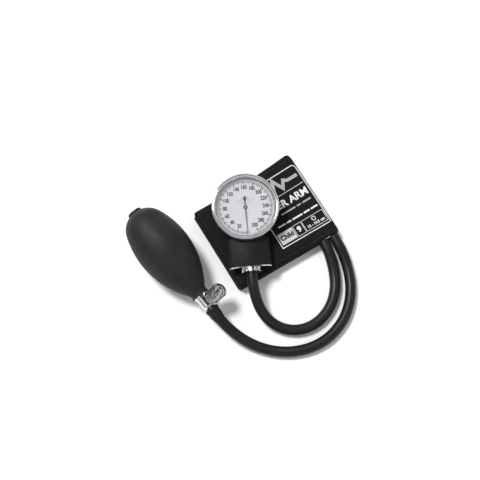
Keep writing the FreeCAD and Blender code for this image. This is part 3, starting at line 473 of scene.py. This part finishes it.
# ---------------------------------------------------------------- hoses
# each route starts with two points straight out of its exit, then follows in mm
HOSE_R = 4.4
GAUGE_LEAD = [GAUGE @ mm(0, y, 8.4) for y in (-52.35, -62.35)]
GAUGE_HOSE = [
    (-40.4, -50.6, 16.2), (-41.9, -60.6, 11.2), (-40.2, -71.2, 7.2), (-35.0, -80.6, 5.2),
    (-26.9, -87.7, 4.6), (-16.8, -91.5, 4.6), (-6.0, -91.6, 4.6), (4.3, -88.4, 4.6),
    (13.4, -82.5, 4.6), (20.6, -74.6, 4.6), (25.8, -65.2, 5.2), (29.4, -54.9, 7.4),
    (31.6, -45.2, 9.6), (32.2, -38.0, 10.0),
]
BULB_LEAD = [BULB @ mm(0, 0, z) for z in (100.65, 110.65)]
BULB_HOSE = [
    (-70.8, -63.1, 11.2), (-65.5, -74.4, 7.4), (-58.0, -85.3, 5.1), (-48.4, -94.7, 4.6),
    (-37.0, -102.0, 4.6), (-24.2, -106.4, 4.6), (-10.9, -107.6, 4.6), (2.3, -105.0, 4.6),
    (14.5, -99.2, 4.6), (24.9, -90.1, 4.6), (33.0, -78.6, 4.6), (38.2, -65.6, 5.4),
    (40.7, -54.0, 7.8), (41.4, -45.4, 9.6), (41.4, -38.0, 10.0),
]


def hose(name, node, lead, route):
    """A smooth tube along a route, standing for a CAD hose."""
    curve = bpy.data.curves.new(name, "CURVE")
    curve.dimensions = "3D"
    spline = curve.splines.new("NURBS")
    points = lead + [mm(*point) for point in route]
    spline.points.add(len(points) - 1)
    for place, point in zip(spline.points, points):
        place.co = (*point, 1)
    spline.order_u = 3
    spline.use_endpoint_u = True
    spline.resolution_u = 16
    curve.bevel_depth = HOSE_R * MM
    curve.bevel_resolution = 10
    curve.materials.append(HOSE)
    piece = bpy.data.objects.new(name, curve)
    scene.collection.objects.link(piece)
    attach(piece, "set")
    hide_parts(node)
    return piece


gauge_hose = hose("gauge_hose_visual", "gauge_hose", GAUGE_LEAD, GAUGE_HOSE)
bulb_hose = hose("bulb_hose_visual", "bulb_hose", BULB_LEAD, BULB_HOSE)

# the bulb hose is stretched over the valve's nose in a thicker cuff
collar = lathe("hose_collar", [(4.0, 99.0), (5.0, 99.0), (5.7, 99.4), (5.85, 100.2),
                               (5.8, 101.4), (5.45, 101.9), (5.3, 102.6), (5.35, 104.2),
                               (5.2, 106.2), (4.85, 108.4), (4.55, 110.2), (4.43, 111.4),
                               (4.0, 111.4)], BULB, 96)
collar = put("hose_collar", collar, HOSE, "set")


# ---------------------------------------------------------------- the folded cuff
def ease(number):
    """Smooth step from 0 to 1."""
    number = min(max(number, 0.0), 1.0)
    return number * number * (3 - 2 * number)


# mm: half size of the cuff, and how far its far edge runs out at the right
CUFF_HALF_X, CUFF_HALF_Y, CUFF_FLARE = 46.8, 37.5, 5.2
FOLD_X = 48.0                   # right end of the top cloth, at the fold
FOLD_R = 3.2                    # rounding of the top cloth into the fold
EDGE_Z, CROWN = 11.3, 1.7       # height of the top cloth's edge, and its rise from there
HEM_IN = 3.4                    # hem groove's distance from the edge
FAR_CORNER = 2.5                # extra rounding of the far right corner
FLAP_END = 46.2                 # right end of the inner layers
MOUTHS = (32.2, 41.4)           # where the hoses leave the near edge


def far_edge(x):
    """The cuff's far edge, which runs outwards to the right."""
    along = min(max((x + CUFF_HALF_X) / (2 * CUFF_HALF_X), 0.0), 1.0)
    return CUFF_HALF_Y + CUFF_FLARE * along ** 2.4


def side_gap(x, y):
    """Distance from a point on the cuff to its nearer long edge."""
    return min(CUFF_HALF_Y + y, far_edge(x) - y)


def cuff_top(x, y):
    """Height in mm of the cuff's upper cloth."""
    edge = min(side_gap(x, y), x + CUFF_HALF_X)
    right = FOLD_X + 0.05 - x
    height = EDGE_Z + CROWN * ease(edge / 7.0)
    height -= 0.22 * math.exp(-((edge - HEM_IN) / 0.6) ** 2)
    if edge < 1.2:
        height -= 1.1 * (1 - max(edge, 0.0) / 1.2) ** 2
    if right < FOLD_R:
        height -= FOLD_R - math.sqrt(max(0.0, FOLD_R ** 2 - (FOLD_R - right) ** 2))
    height += 0.30 * noise.noise(Vector((x * 0.045, y * 0.055, 3.1))) * ease(edge / 10)
    height += 0.12 * noise.noise(Vector((x * 0.16, y * 0.13, 7.7))) * ease(edge / 5)
    for mouth in MOUTHS:
        rise = math.exp(-((x - mouth) / 4.6) ** 2 - ((y + CUFF_HALF_Y) / 5.0) ** 2)
        height += 4.2 * rise
    return height


def layer(name, inset, top, bottom, x1, rows=190, columns=150, corner=3.0):
    """Closed cloth pad between an upper and a lower height function."""
    x0 = inset / 3 - CUFF_HALF_X
    near = inset - CUFF_HALF_Y

    def spot(i, j):
        """Grid point, with the corners drawn in to a radius."""
        x = x0 + (x1 - x0) * i / rows
        far = far_edge(x) - inset
        y = near + (far - near) * j / columns
        radius = corner + FAR_CORNER * (x > 0 and y > 0)
        dx = max(0.0, radius - min(x - x0, x1 - x))
        dy = max(0.0, radius - min(y - near, far - y))
        if dx > 0 and dy > 0:
            scale = 1 - max(dx, dy) / math.hypot(dx, dy)
            x -= math.copysign(dx * scale, x)
            y -= math.copysign(dy * scale, y)
        return x, y

    points, faces = [], []
    width = columns + 1
    for surface in (top, bottom):
        for i in range(rows + 1):
            for j in range(width):
                x, y = spot(i, j)
                points.append(mm(x, y, surface(x, y)))
    shift = (rows + 1) * width
    for i in range(rows):
        for j in range(columns):
            a = i * width + j
            faces.append((a, a + width, a + width + 1, a + 1))
            faces.append((a + shift, a + shift + 1, a + shift + width + 1, a + shift + width))
    for i in range(rows):
        a, b = i * width, (i + 1) * width
        faces.append((a, a + shift, b + shift, b))
        a, b = a + columns, b + columns
        faces.append((a, b, b + shift, a + shift))
    for j in range(columns):
        a, b = j, j + 1
        faces.append((a, b, b + shift, a + shift))
        a, b = rows * width + j, rows * width + j + 1
        faces.append((a, a + shift, b + shift, b))
    return mesh_of(name, points, faces)


def cuff_under(x, y):
    """Height of the underside of the cuff's upper layer."""
    edge = min(side_gap(x, y), x + CUFF_HALF_X, FOLD_X - x)
    return 7.45 + 0.9 * (1 - ease(edge / 2.5))


top_mesh = layer("cuff_top_cloth", 0.0, cuff_top, cuff_under, FOLD_X)
top_cloth = put("cuff_top_cloth", top_mesh, NYLON, "set", crease=50)
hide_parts("cuff_top_panel")


def flap(name, node, body, low, high, seed):
    """One of the thinner layers, with soft edges and a stitched hem."""
    inset = 0.6

    def above(x, y):
        edge = min(side_gap(x, y) - inset, x + CUFF_HALF_X - 0.2, FLAP_END - x)
        swell = 0.10 * noise.noise(Vector((x * 0.06, y * 0.06, seed)))
        hem = 0.3 * math.exp(-((edge - HEM_IN) / 0.5) ** 2)
        return high - 0.1 - 0.9 * (1 - ease(edge / 1.6)) + swell - hem

    def below(x, y):
        edge = min(side_gap(x, y) - inset, x + CUFF_HALF_X - 0.2, FLAP_END - x)
        return low + 0.02 + 0.8 * (1 - ease(edge / 1.6))

    mesh = layer(name, inset, above, below, FLAP_END, 110, 90)
    piece = put(name, mesh, NYLON, body, crease=50)
    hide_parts(node)


flap("cuff_tail_cloth", "cuff_tail_panel", "tail", 4.4, 7.1, 11.0)
flap("cuff_tip_cloth", "cuff_tail_tip", "tip", 0.9, 3.4, 17.0)


def fold(name, side, rim, high, low, reach, near, far):
    """Cloth that turns round a fold, from the upper layer's edge to the lower one's."""
    points, faces = [], []
    steps, columns, thick = 14, 40, 0.9
    for skin in (0.0, thick):
        for i in range(steps + 1):
            angle = math.pi * (0.5 - i / steps)
            for j in range(columns + 1):
                y = near + (far - near) * j / columns
                wave = 0.18 * noise.noise(Vector((y * 0.09, i * 0.2, rim)))
                out = (reach - skin + wave) * math.cos(angle)
                up = ((high - low) / 2 - skin) * math.sin(angle)
                points.append(mm(side * (rim + out), y, (high + low) / 2 + up))
    width, shift = columns + 1, (steps + 1) * (columns + 1)
    for i in range(steps):
        for j in range(columns):
            a = i * width + j
            faces.append((a, a + 1, a + width + 1, a + width))
            faces.append((a + shift, a + shift + width, a + shift + width + 1, a + shift + 1))
        for a in (i * width, i * width + columns):
            faces.append((a, a + width, a + width + shift, a + shift))
    for j in range(columns):
        for a in (j, steps * width + j):
            faces.append((a, a + shift, a + shift + 1, a + 1))
    piece = put(name, mend(mesh_of(name, points, faces)), NYLON, None, crease=60)
    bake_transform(piece)


fold("right_fold", 1, 46.2, 10.2, 4.9, 1.9, -35.6, 39.6)
fold("left_fold", -1, 46.2, 6.4, 1.3, 1.2, -35.2, 35.2)


def on_cuff(x, y):
    """A point of the print, which widens with the cuff."""
    y += 0.5 * (far_edge(x) - CUFF_HALF_Y) * (y + CUFF_HALF_Y) / (2 * CUFF_HALF_Y)
    return mm(x, y, cuff_top(x, y) + 0.07)


def printed(name, quads, material):
    """A flat print on the cuff's top."""
    put(name, quads_mesh(name, quads, on_cuff), material, "set")


def seam(name, path):
    """A row of short raised stitches along a path on the cuff's top."""
    points = dense(path, 0.55)
    meshes = []
    stitch, gap = 3, 2
    for index in range(0, len(points) - stitch - 1, stitch + gap):
        start, end = Vector(points[index]), Vector(points[index + stitch])
        ahead = (end - start).normalized()
        across = Vector((-ahead.y, ahead.x)) * 0.2
        ring = []
        for part in range(4):
            here = start.lerp(end, part / 3)
            rise = 0.16 * math.sin(math.pi * (0.15 + 0.7 * part / 3))
            base = mm(here.x, here.y, cuff_top(here.x, here.y) + 0.02)
            ring.append([base + Vector((across.x, across.y, 0)) * MM,
                         base + Vector((0, 0, rise * MM)),
                         base - Vector((across.x, across.y, 0)) * MM])
        corners = [corner for row in ring for corner in row]
        faces = []
        for part in range(3):
            for strand in range(2):
                a = part * 3 + strand
                faces.append((a, a + 3, a + 4, a + 1))
        meshes.append(mesh_of(name, corners, faces))
    return put(name, joined(name, meshes), THREAD, "set")


seam("hem_stitches", [(43.0, -34.1), (-43.4, -34.1), (-43.4, 34.2), (43.0, 36.8)])

# printed label: frame, generic pulse line, plain words, bars and the size row
frame_line = ([(0.2, -27.0), (46.0, -27.0)] + arc((42.8, 26.0), 3.2, 0, 90, 8)
              + [(0.2, 29.2)])
printed("label_frame", ribbon(dense(frame_line, 2.0, True), 0.75, True), PRINT)
printed("label_edge", ribbon(dense([(47.0, -26.3), (47.0, 26.4)], 2.0), 0.35), PRINT)
pulse = [(2.5, 20.4), (12.0, 20.4), (14.5, 24.6), (18.5, 15.4), (22.5, 26.4), (27.5, 16.4),
         (31.0, 22.4), (34.0, 20.4), (43.6, 20.4)]
printed("label_mark", ribbon(dense(pulse, 1.2), 2.7), SILVER_PRINT)
printed("label_rule", ribbon(dense([(2.5, 12.4), (44.4, 12.4)], 2.0), 0.4), PRINT)


def bar(x0, y0, x1, y1):
    """A filled rectangle."""
    return ribbon(dense([(x0, (y0 + y1) / 2), (x1, (y0 + y1) / 2)], 1.5), y1 - y0)


# name, lower and upper edge, ink, and the start and end of each dash
LINES = [("label_subtitle", -2.8, -1.5, SILVER_PRINT, [(14.0, 27.5), (29.0, 33.0), (34.5, 42.6)]),
         ("label_bars", -10.8, -9.4, PRINT, [(6.0, 13.0), (14.2, 18.6), (19.8, 29.4),
                                             (30.6, 36.4), (37.6, 44.0)])]
for name, low, high, ink, dashes in LINES:
    strips = []
    for x0, x1 in dashes:
        strips += bar(x0, low, x1, high)
    printed(name, strips, ink)
printed("label_box", bar(1.6, -24.9, 15.6, -15.0), BOX_PRINT)
cells = [(16.4, -24.9, 24.0, -15.0), (24.8, -24.9, 44.8, -15.0)]
for index, cell in enumerate(cells):
    frame_path = dense(rounded(*cell, 0.3, 2), 2.0, True)
    printed("label_cell_%d" % index, ribbon(frame_path, 0.35, True), PRINT)


def above_box(x, y):
    """A point of the words that lie on the size box."""
    return on_cuff(x, y) + mm(0, 0, 0.05)


# name, text, size, place, boldness, alignment, surface and ink
WORDS = [
    ("label_word", "UPPER ARM", 8.6, (44.0, 5.0), 0.25, "RIGHT", on_cuff, PRINT),
    ("label_size", "Child", 5.6, (8.6, -19.9), 0.27, "CENTER", above_box, BLACK_INK),
    ("label_code", "9", 6.6, (20.2, -19.9), 0.32, "CENTER", on_cuff, PRINT),
    ("label_range", "13 - 19.5 cm", 3.2, (34.9, -22.2), 0.13, "CENTER", on_cuff, PRINT),
]
for name, text, size, centre, bold, align, lift, ink in WORDS:
    put(name, letters(name, text, size, centre, lift, bold, align), ink, "set")
printed("label_loop", ribbon(arc((35.2, -17.9), 1.6, 0, 350, 24), 0.6), PRINT)

# light grey raised strip over the gauge hose's exit: a painted highlight on the hose where it
# leaves the cuff
HIGHLIGHT_X, HIGHLIGHT_Y = 35.1, -36.95
highlight_path = rounded(31.3, -38.0, 38.9, -35.9, 1.0, 6)
highlight_points, highlight_faces = [], []
for height, wide, deep in ((12.2, 1, 1), (13.0, 1, 1), (13.3, 0.952, 0.8)):
    for x, y in highlight_path:
        highlight_points.append(mm(HIGHLIGHT_X + (x - HIGHLIGHT_X) * wide, HIGHLIGHT_Y + (y - HIGHLIGHT_Y) * deep, height))
count = len(highlight_path)
for row in range(2):
    for index in range(count):
        follow = (index + 1) % count
        highlight_faces.append((row * count + index, row * count + follow,
                          (row + 1) * count + follow, (row + 1) * count + index))
highlight_faces.append(tuple(range(2 * count, 3 * count)))
put("hose_exit_highlight", mesh_of("hose_exit_highlight", highlight_points, highlight_faces), PAINTED_HIGHLIGHT_GREY, "set")


# ---------------------------------------------------------------- gauge
def strap():
    """Webbing that crosses over the gauge's clip and is sewn down at both ends."""
    heading = Matrix.Translation(mm(GAUGE_X, GAUGE_Y, 0)) @ GAUGE_HEADING
    line = [(-14.8, 13.35), (-11.4, 13.4), (-10.5, 14.0), (-9.8, 15.4), (-8.9, 15.85),
            (0, 15.9), (8.9, 15.85), (9.8, 15.4), (10.5, 14.0), (11.4, 13.4), (14.8, 13.35)]
    columns, thick = 8, 0.75
    points, faces = [], []
    for skin in (0.0, thick):
        for x, z in line:
            for j in range(columns + 1):
                y = -28.0 - 12.0 * j / columns
                points.append(heading @ mm(x, y, z + skin))
    width, shift = columns + 1, len(line) * (columns + 1)
    for i in range(len(line) - 1):
        for j in range(columns):
            a = i * width + j
            faces.append((a, a + 1, a + width + 1, a + width))
            faces.append((a + shift, a + shift + width, a + shift + width + 1, a + shift + 1))
        for a in (i * width, i * width + columns):
            faces.append((a, a + width, a + width + shift, a + shift))
    for j in range(columns):
        for a in (j, (len(line) - 1) * width + j):
            faces.append((a, a + shift, a + shift + 1, a + 1))
    piece = put("gauge_webbing", mesh_of("gauge_webbing", points, faces), WEBBING, "set")
    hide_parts("gauge_loop")


strap()


def neck_outline(margin, steps=28):
    """Rounded outline (x, z) of the case's neck in mm, grown by a margin."""
    neck_half, neck_crown, edge, soft = 16.5, 36.0, 8.4, 1.7
    half, back, crown = neck_half + margin, 3.6 - margin, neck_crown + margin
    rise = edge - math.sqrt(neck_crown ** 2 - neck_half ** 2)
    lean = math.degrees(math.asin((half - soft * 0.6) / crown))
    path = [(x, z + rise) for x, z in arc((0, 0), crown, 90 - lean, 90 + lean, steps)]
    left = path[-1]
    path += [(-half + 0.35, left[1] - 0.55), (-half, left[1] - 1.5)]
    path += arc((-half + soft, back + soft), soft, 180, 270, 5)
    path += arc((half - soft, back + soft), soft, 270, 360, 5)
    path += [(half, left[1] - 1.5), (half - 0.35, left[1] - 0.55)]
    return path


def lofted(name, outline_at, stations, place):
    """Solid through outlines at stations along -Y, closed at both ends."""
    points, faces = [], []
    for y, margin in stations:
        for x, z in outline_at(margin):
            points.append(place @ mm(x, y, z))
    count = len(outline_at(stations[0][1]))
    for row in range(len(stations) - 1):
        for index in range(count):
            follow = (index + 1) % count
            faces.append((row * count + index, row * count + follow,
                          (row + 1) * count + follow, (row + 1) * count + index))
    faces.append(tuple(range(count)))
    faces.append(tuple(range((len(stations) - 1) * count, len(stations) * count)))
    return mend(mesh_of(name, points, faces))


cup = lathe("gauge_cup", [(0, 0)] + [(21.6, 0), (22.1, 0.02)]
            + arc((22.1, 2.5), 2.5, -84, 0, 10) + [(24.6, 14.6), (23.3, 14.6), (23.3, 1.5),
                                                    (0, 1.5)], GAUGE)
neck = lofted("gauge_neck", neck_outline,
              [(-23.9, -0.25), (-29.2, -0.25), (-29.9, -0.1), (-30.6, 0.0), (-46.7, 0.0),
               (-47.35, -0.25)], GAUGE)
case = put("gauge_shell", joined("gauge_shell", [cup, neck]), ENAMEL, "set",
           crease=40)
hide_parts("gauge_case")
rim = lofted("neck_plate", neck_outline, [(-47.45, 0.25), (-47.6, 0.4), (-48.45, 0.4),
                                          (-48.6, 0.2)], GAUGE)
rim = put("neck_plate", rim, CHROME, "set", crease=30)
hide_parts("end_plate")

bezel_line = ([(24.75, 12.5), (26.3, 12.5)] + arc((26.4, 13.1), 0.6, -80, 0, 6)
              + [(27.0, 13.6), (27.0, 14.2), (26.75, 14.45), (26.75, 14.75), (27.0, 15.0)]
              + arc((25.5, 17.0), 1.5, 0, 100, 12) + [(24.6, 18.15), (24.1, 17.75),
                                                      (23.6, 17.15), (23.35, 16.72)]
              + [(24.0, 16.72), (24.0, 14.75), (24.75, 14.75)])
bezel = put("bezel_ring", lathe("bezel_ring", bezel_line, GAUGE, 192), CHROME, "set",
            crease=24)
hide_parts("bezel")

# sloped white ring between the dial and the lens
collar_line = [(22.3, 13.66), (22.45, 13.66), (23.0, 15.22), (23.22, 15.22), (23.22, 13.62),
               (22.3, 13.62)]
dial_wall = put("dial_wall", lathe("dial_wall", collar_line, GAUGE, 144), DIAL, "set")
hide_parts("lens_gasket")


DIAL_PRINT_Z = 13.63
NUMBER_R = 16.4
TICK_OUT = 21.9
# number of mmHg between ticks of each kind, their inner radius and their width
TICKS = [(20, 18.8, 0.62), (10, 19.5, 0.50), (2, 20.3, 0.34)]
SCALE_END = 300
PER_MMHG = math.radians(1.1275)


def on_dial(x, y):
    """A point of the print on the dial."""
    return GAUGE @ mm(x, y, DIAL_PRINT_Z)


def spoke(angle, inner, outer, width):
    """A tick at an angle clockwise from straight down."""
    along = Vector((-math.sin(angle), -math.cos(angle)))
    across = Vector((along.y, -along.x)) * width / 2
    return (along * inner - across, along * outer - across, along * outer + across,
            along * inner + across)


ticks = []
for value in range(0, SCALE_END + 1, 2):
    inner, width = next((r, w) for every, r, w in TICKS if value % every == 0)
    ticks.append(spoke(value * PER_MMHG, inner, TICK_OUT, width))
put("dial_ticks", quads_mesh("dial_ticks", ticks, on_dial), BLACK_INK, "set")
zero = ribbon(dense([(-1.3, -21.5), (1.3, -21.5), (1.3, -19.0), (-1.3, -19.0)], 0.8, True),
              0.2, True)
put("dial_zero", quads_mesh("dial_zero", zero, on_dial), BLACK_INK, "set")
numbers = []
for value in range(20, SCALE_END + 1, 20):
    angle = value * PER_MMHG
    spot = (-NUMBER_R * math.sin(angle), -NUMBER_R * math.cos(angle))
    numbers.append(letters("number", str(value), 4.4, spot, on_dial, bold=0.19, squeeze=0.76))
put("dial_numbers", joined("dial_numbers", numbers), BLACK_INK, "set")
put("dial_unit", letters("dial_unit", "mmHg", 2.1, (0, -5.4), on_dial), RED_INK, "set")
wave = [(-7.2, 5.4), (-3.2, 5.4), (-1.8, 8.0), (0.2, 4.4), (1.8, 9.0), (3.2, 5.4), (7.2, 5.4)]
marks = ribbon(dense(wave, 1.0), 0.62) + ribbon(dense([(-6.2, 3.4), (6.2, 3.4)], 1.0), 0.4)
put("dial_mark", quads_mesh("dial_mark", marks, on_dial), GREY_INK, "set")


# ---------------------------------------------------------------- bulb
def bulb_profile():
    """Half section of the bulb's skin in mm, from the far end to the neck's lip."""
    bulb_r, widest, tip_r, front_r, neck_r, neck_z = 22.1, 38.0, 18.5, 72.0, 7.0, 84.0
    boss_r = 6.2
    side_r = ((widest - tip_r) ** 2 + bulb_r ** 2 - tip_r ** 2) / (2 * (bulb_r - tip_r))
    lean = math.degrees(math.atan2(widest - tip_r, side_r - bulb_r))
    turn = 2 * math.atan((bulb_r - neck_r) / (neck_z - widest))
    neck_arc = (bulb_r - neck_r) / (1 - math.cos(turn)) - front_r
    start = -math.degrees(math.acos(boss_r / tip_r))
    line = [(0, -0.1), (4.85, -0.1), (4.9, -0.75), (5.15, -0.95), (5.75, -0.85),
            (6.1, -0.45), (boss_r, 0.2), (boss_r, 0.9)]
    line += arc((0, tip_r), tip_r, start + 0.8, -lean, 14)
    line += arc((bulb_r - side_r, widest), side_r, -lean, 0, 16)[1:]
    line += arc((bulb_r - front_r, widest), front_r, 0, math.degrees(turn), 26)[1:]
    line += arc((neck_r + neck_arc, neck_z), neck_arc, 180 + math.degrees(turn), 180, 8)[1:]
    line += [(7.0, 84.5), (7.35, 84.8), (7.7, 85.2), (7.75, 85.6), (7.5, 85.95), (4.6, 86.0),
             (4.6, 82.5), (3.0, 80.0), (0, 80.0)]
    return line


def bulb_shape(radius, height, angle):
    """Two faint moulding lines, and a slight unevenness of the skin."""
    boss, neck_start = 6, 83
    if radius < boss or height > neck_start:
        return radius
    line = math.exp(-(math.sin(angle) * radius / 0.35) ** 2)
    uneven = noise.noise(Vector((math.cos(angle) * 1.6, math.sin(angle) * 1.6, height * 0.05)))
    return radius + 0.16 * line + 0.16 * uneven - 0.1


bulb = put("bulb_skin", lathe("bulb_skin", bulb_profile(), BULB, 256, bulb_shape), BULB_RUBBER,
           "set", crease=45)
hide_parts("inflation_bulb")

# ---------------------------------------------------------------- CAD nodes that stay
# the inlet nut, packing nut and valve knob get the chrome with painted reflections
CAD_MATERIALS = {
    "bladder": BLADDER, "loop_patch": LOOP, "hook_patch": HOOK,
    "gauge_nipple": BRASS, "inlet_nut": CHROME_PAINTED_REFLECTIONS, "pressure_pipe": BRASS, "clip_plate": STEEL,
    "clip_screws": STEEL, "lens": GLASS, "dial_plate": DIAL,
    "dial_posts": BRASS, "needle": NEEDLE, "needle_hub": COPPER, "needle_arbor": STEEL,
    "sector_arbor": STEEL, "needle_pinion": BRASS, "sector_gear": BRASS,
    "rocking_shaft": STEEL, "shaft_brackets": BRASS, "base_plate": BRASS, "top_plate": BRASS,
    "movement_pillars": BRASS, "base_posts": BRASS, "capsule_bottom": BRONZE,
    "capsule_top": BRONZE, "capsule_pusher": STEEL, "capsule_stem": BRASS,
    "hairspring": BRONZE, "intake_seat": CHROME, "intake_screen": STEEL,
    "intake_retainer": BRASS, "intake_ball": STEEL, "valve_body": CHROME,
    "outlet_seat": BRASS, "outlet_disc": GASKET, "outlet_stop": BRASS,
    "packing_nut": CHROME_PAINTED_REFLECTIONS, "valve_seal": GASKET, "valve_screw": BRASS,
    "valve_knob": CHROME_PAINTED_REFLECTIONS,
}
for node, assigned in CAD_MATERIALS.items():
    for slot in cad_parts[node].material_slots:
        slot.material = assigned

# ---------------------------------------------------------------- floor and light
FLOOR = 9.0
floor_mesh = mesh_of("floor", [(-FLOOR, -FLOOR, 0), (FLOOR, -FLOOR, 0), (FLOOR, FLOOR, 0),
                               (-FLOOR, FLOOR, 0)], [(0, 1, 2, 3)])
floor_paint = Shader("floor_white", 0.7, spec=0.1)
floor_paint.colour(floor_paint.noise(3, 3), (0.90, 0.90, 0.90), (0.92, 0.92, 0.92))
floor = put("floor", floor_mesh, floor_paint.material, None, smooth=False)

# soft key light from the upper left, and a sky that is bright between the horizon and a
# dark patch overhead; each stop is the sine of the elevation and a grey tone
sun = bpy.data.lights.new("key", "SUN")
sun.energy = 2.55
sun.angle = math.radians(14)
key = bpy.data.objects.new("key", sun)
scene.collection.objects.link(key)
key.matrix_world = look(Vector((-0.20, 0.37, 0.906)), Vector((0, 0, 0)), Vector((0, 0, 1)))

world = bpy.data.worlds.new("studio")
world.use_nodes = True
sky = world.node_tree
direction = sky.nodes.new("ShaderNodeTexCoord")
split = sky.nodes.new("ShaderNodeSeparateXYZ")
band = sky.nodes.new("ShaderNodeValToRGB")
SKY = [(0.0, 0.24), (0.42, 0.42), (0.56, 1.0), (0.84, 1.0), (0.90, 0.07), (1.0, 0.07)]
stops = band.color_ramp.elements
for _ in SKY[2:]:
    stops.new(0.5)
for stop, (height, tone) in zip(stops, SKY):
    stop.position = height
    stop.color = (tone, tone, tone, 1)
sky.links.new(direction.outputs["Generated"], split.inputs[0])
sky.links.new(split.outputs["Z"], band.inputs["Fac"])
sky.links.new(band.outputs["Color"], sky.nodes["Background"].inputs["Color"])
sky.nodes["Background"].inputs["Strength"].default_value = 0.98
scene.world = world
scene.view_settings.view_transform = "Standard"
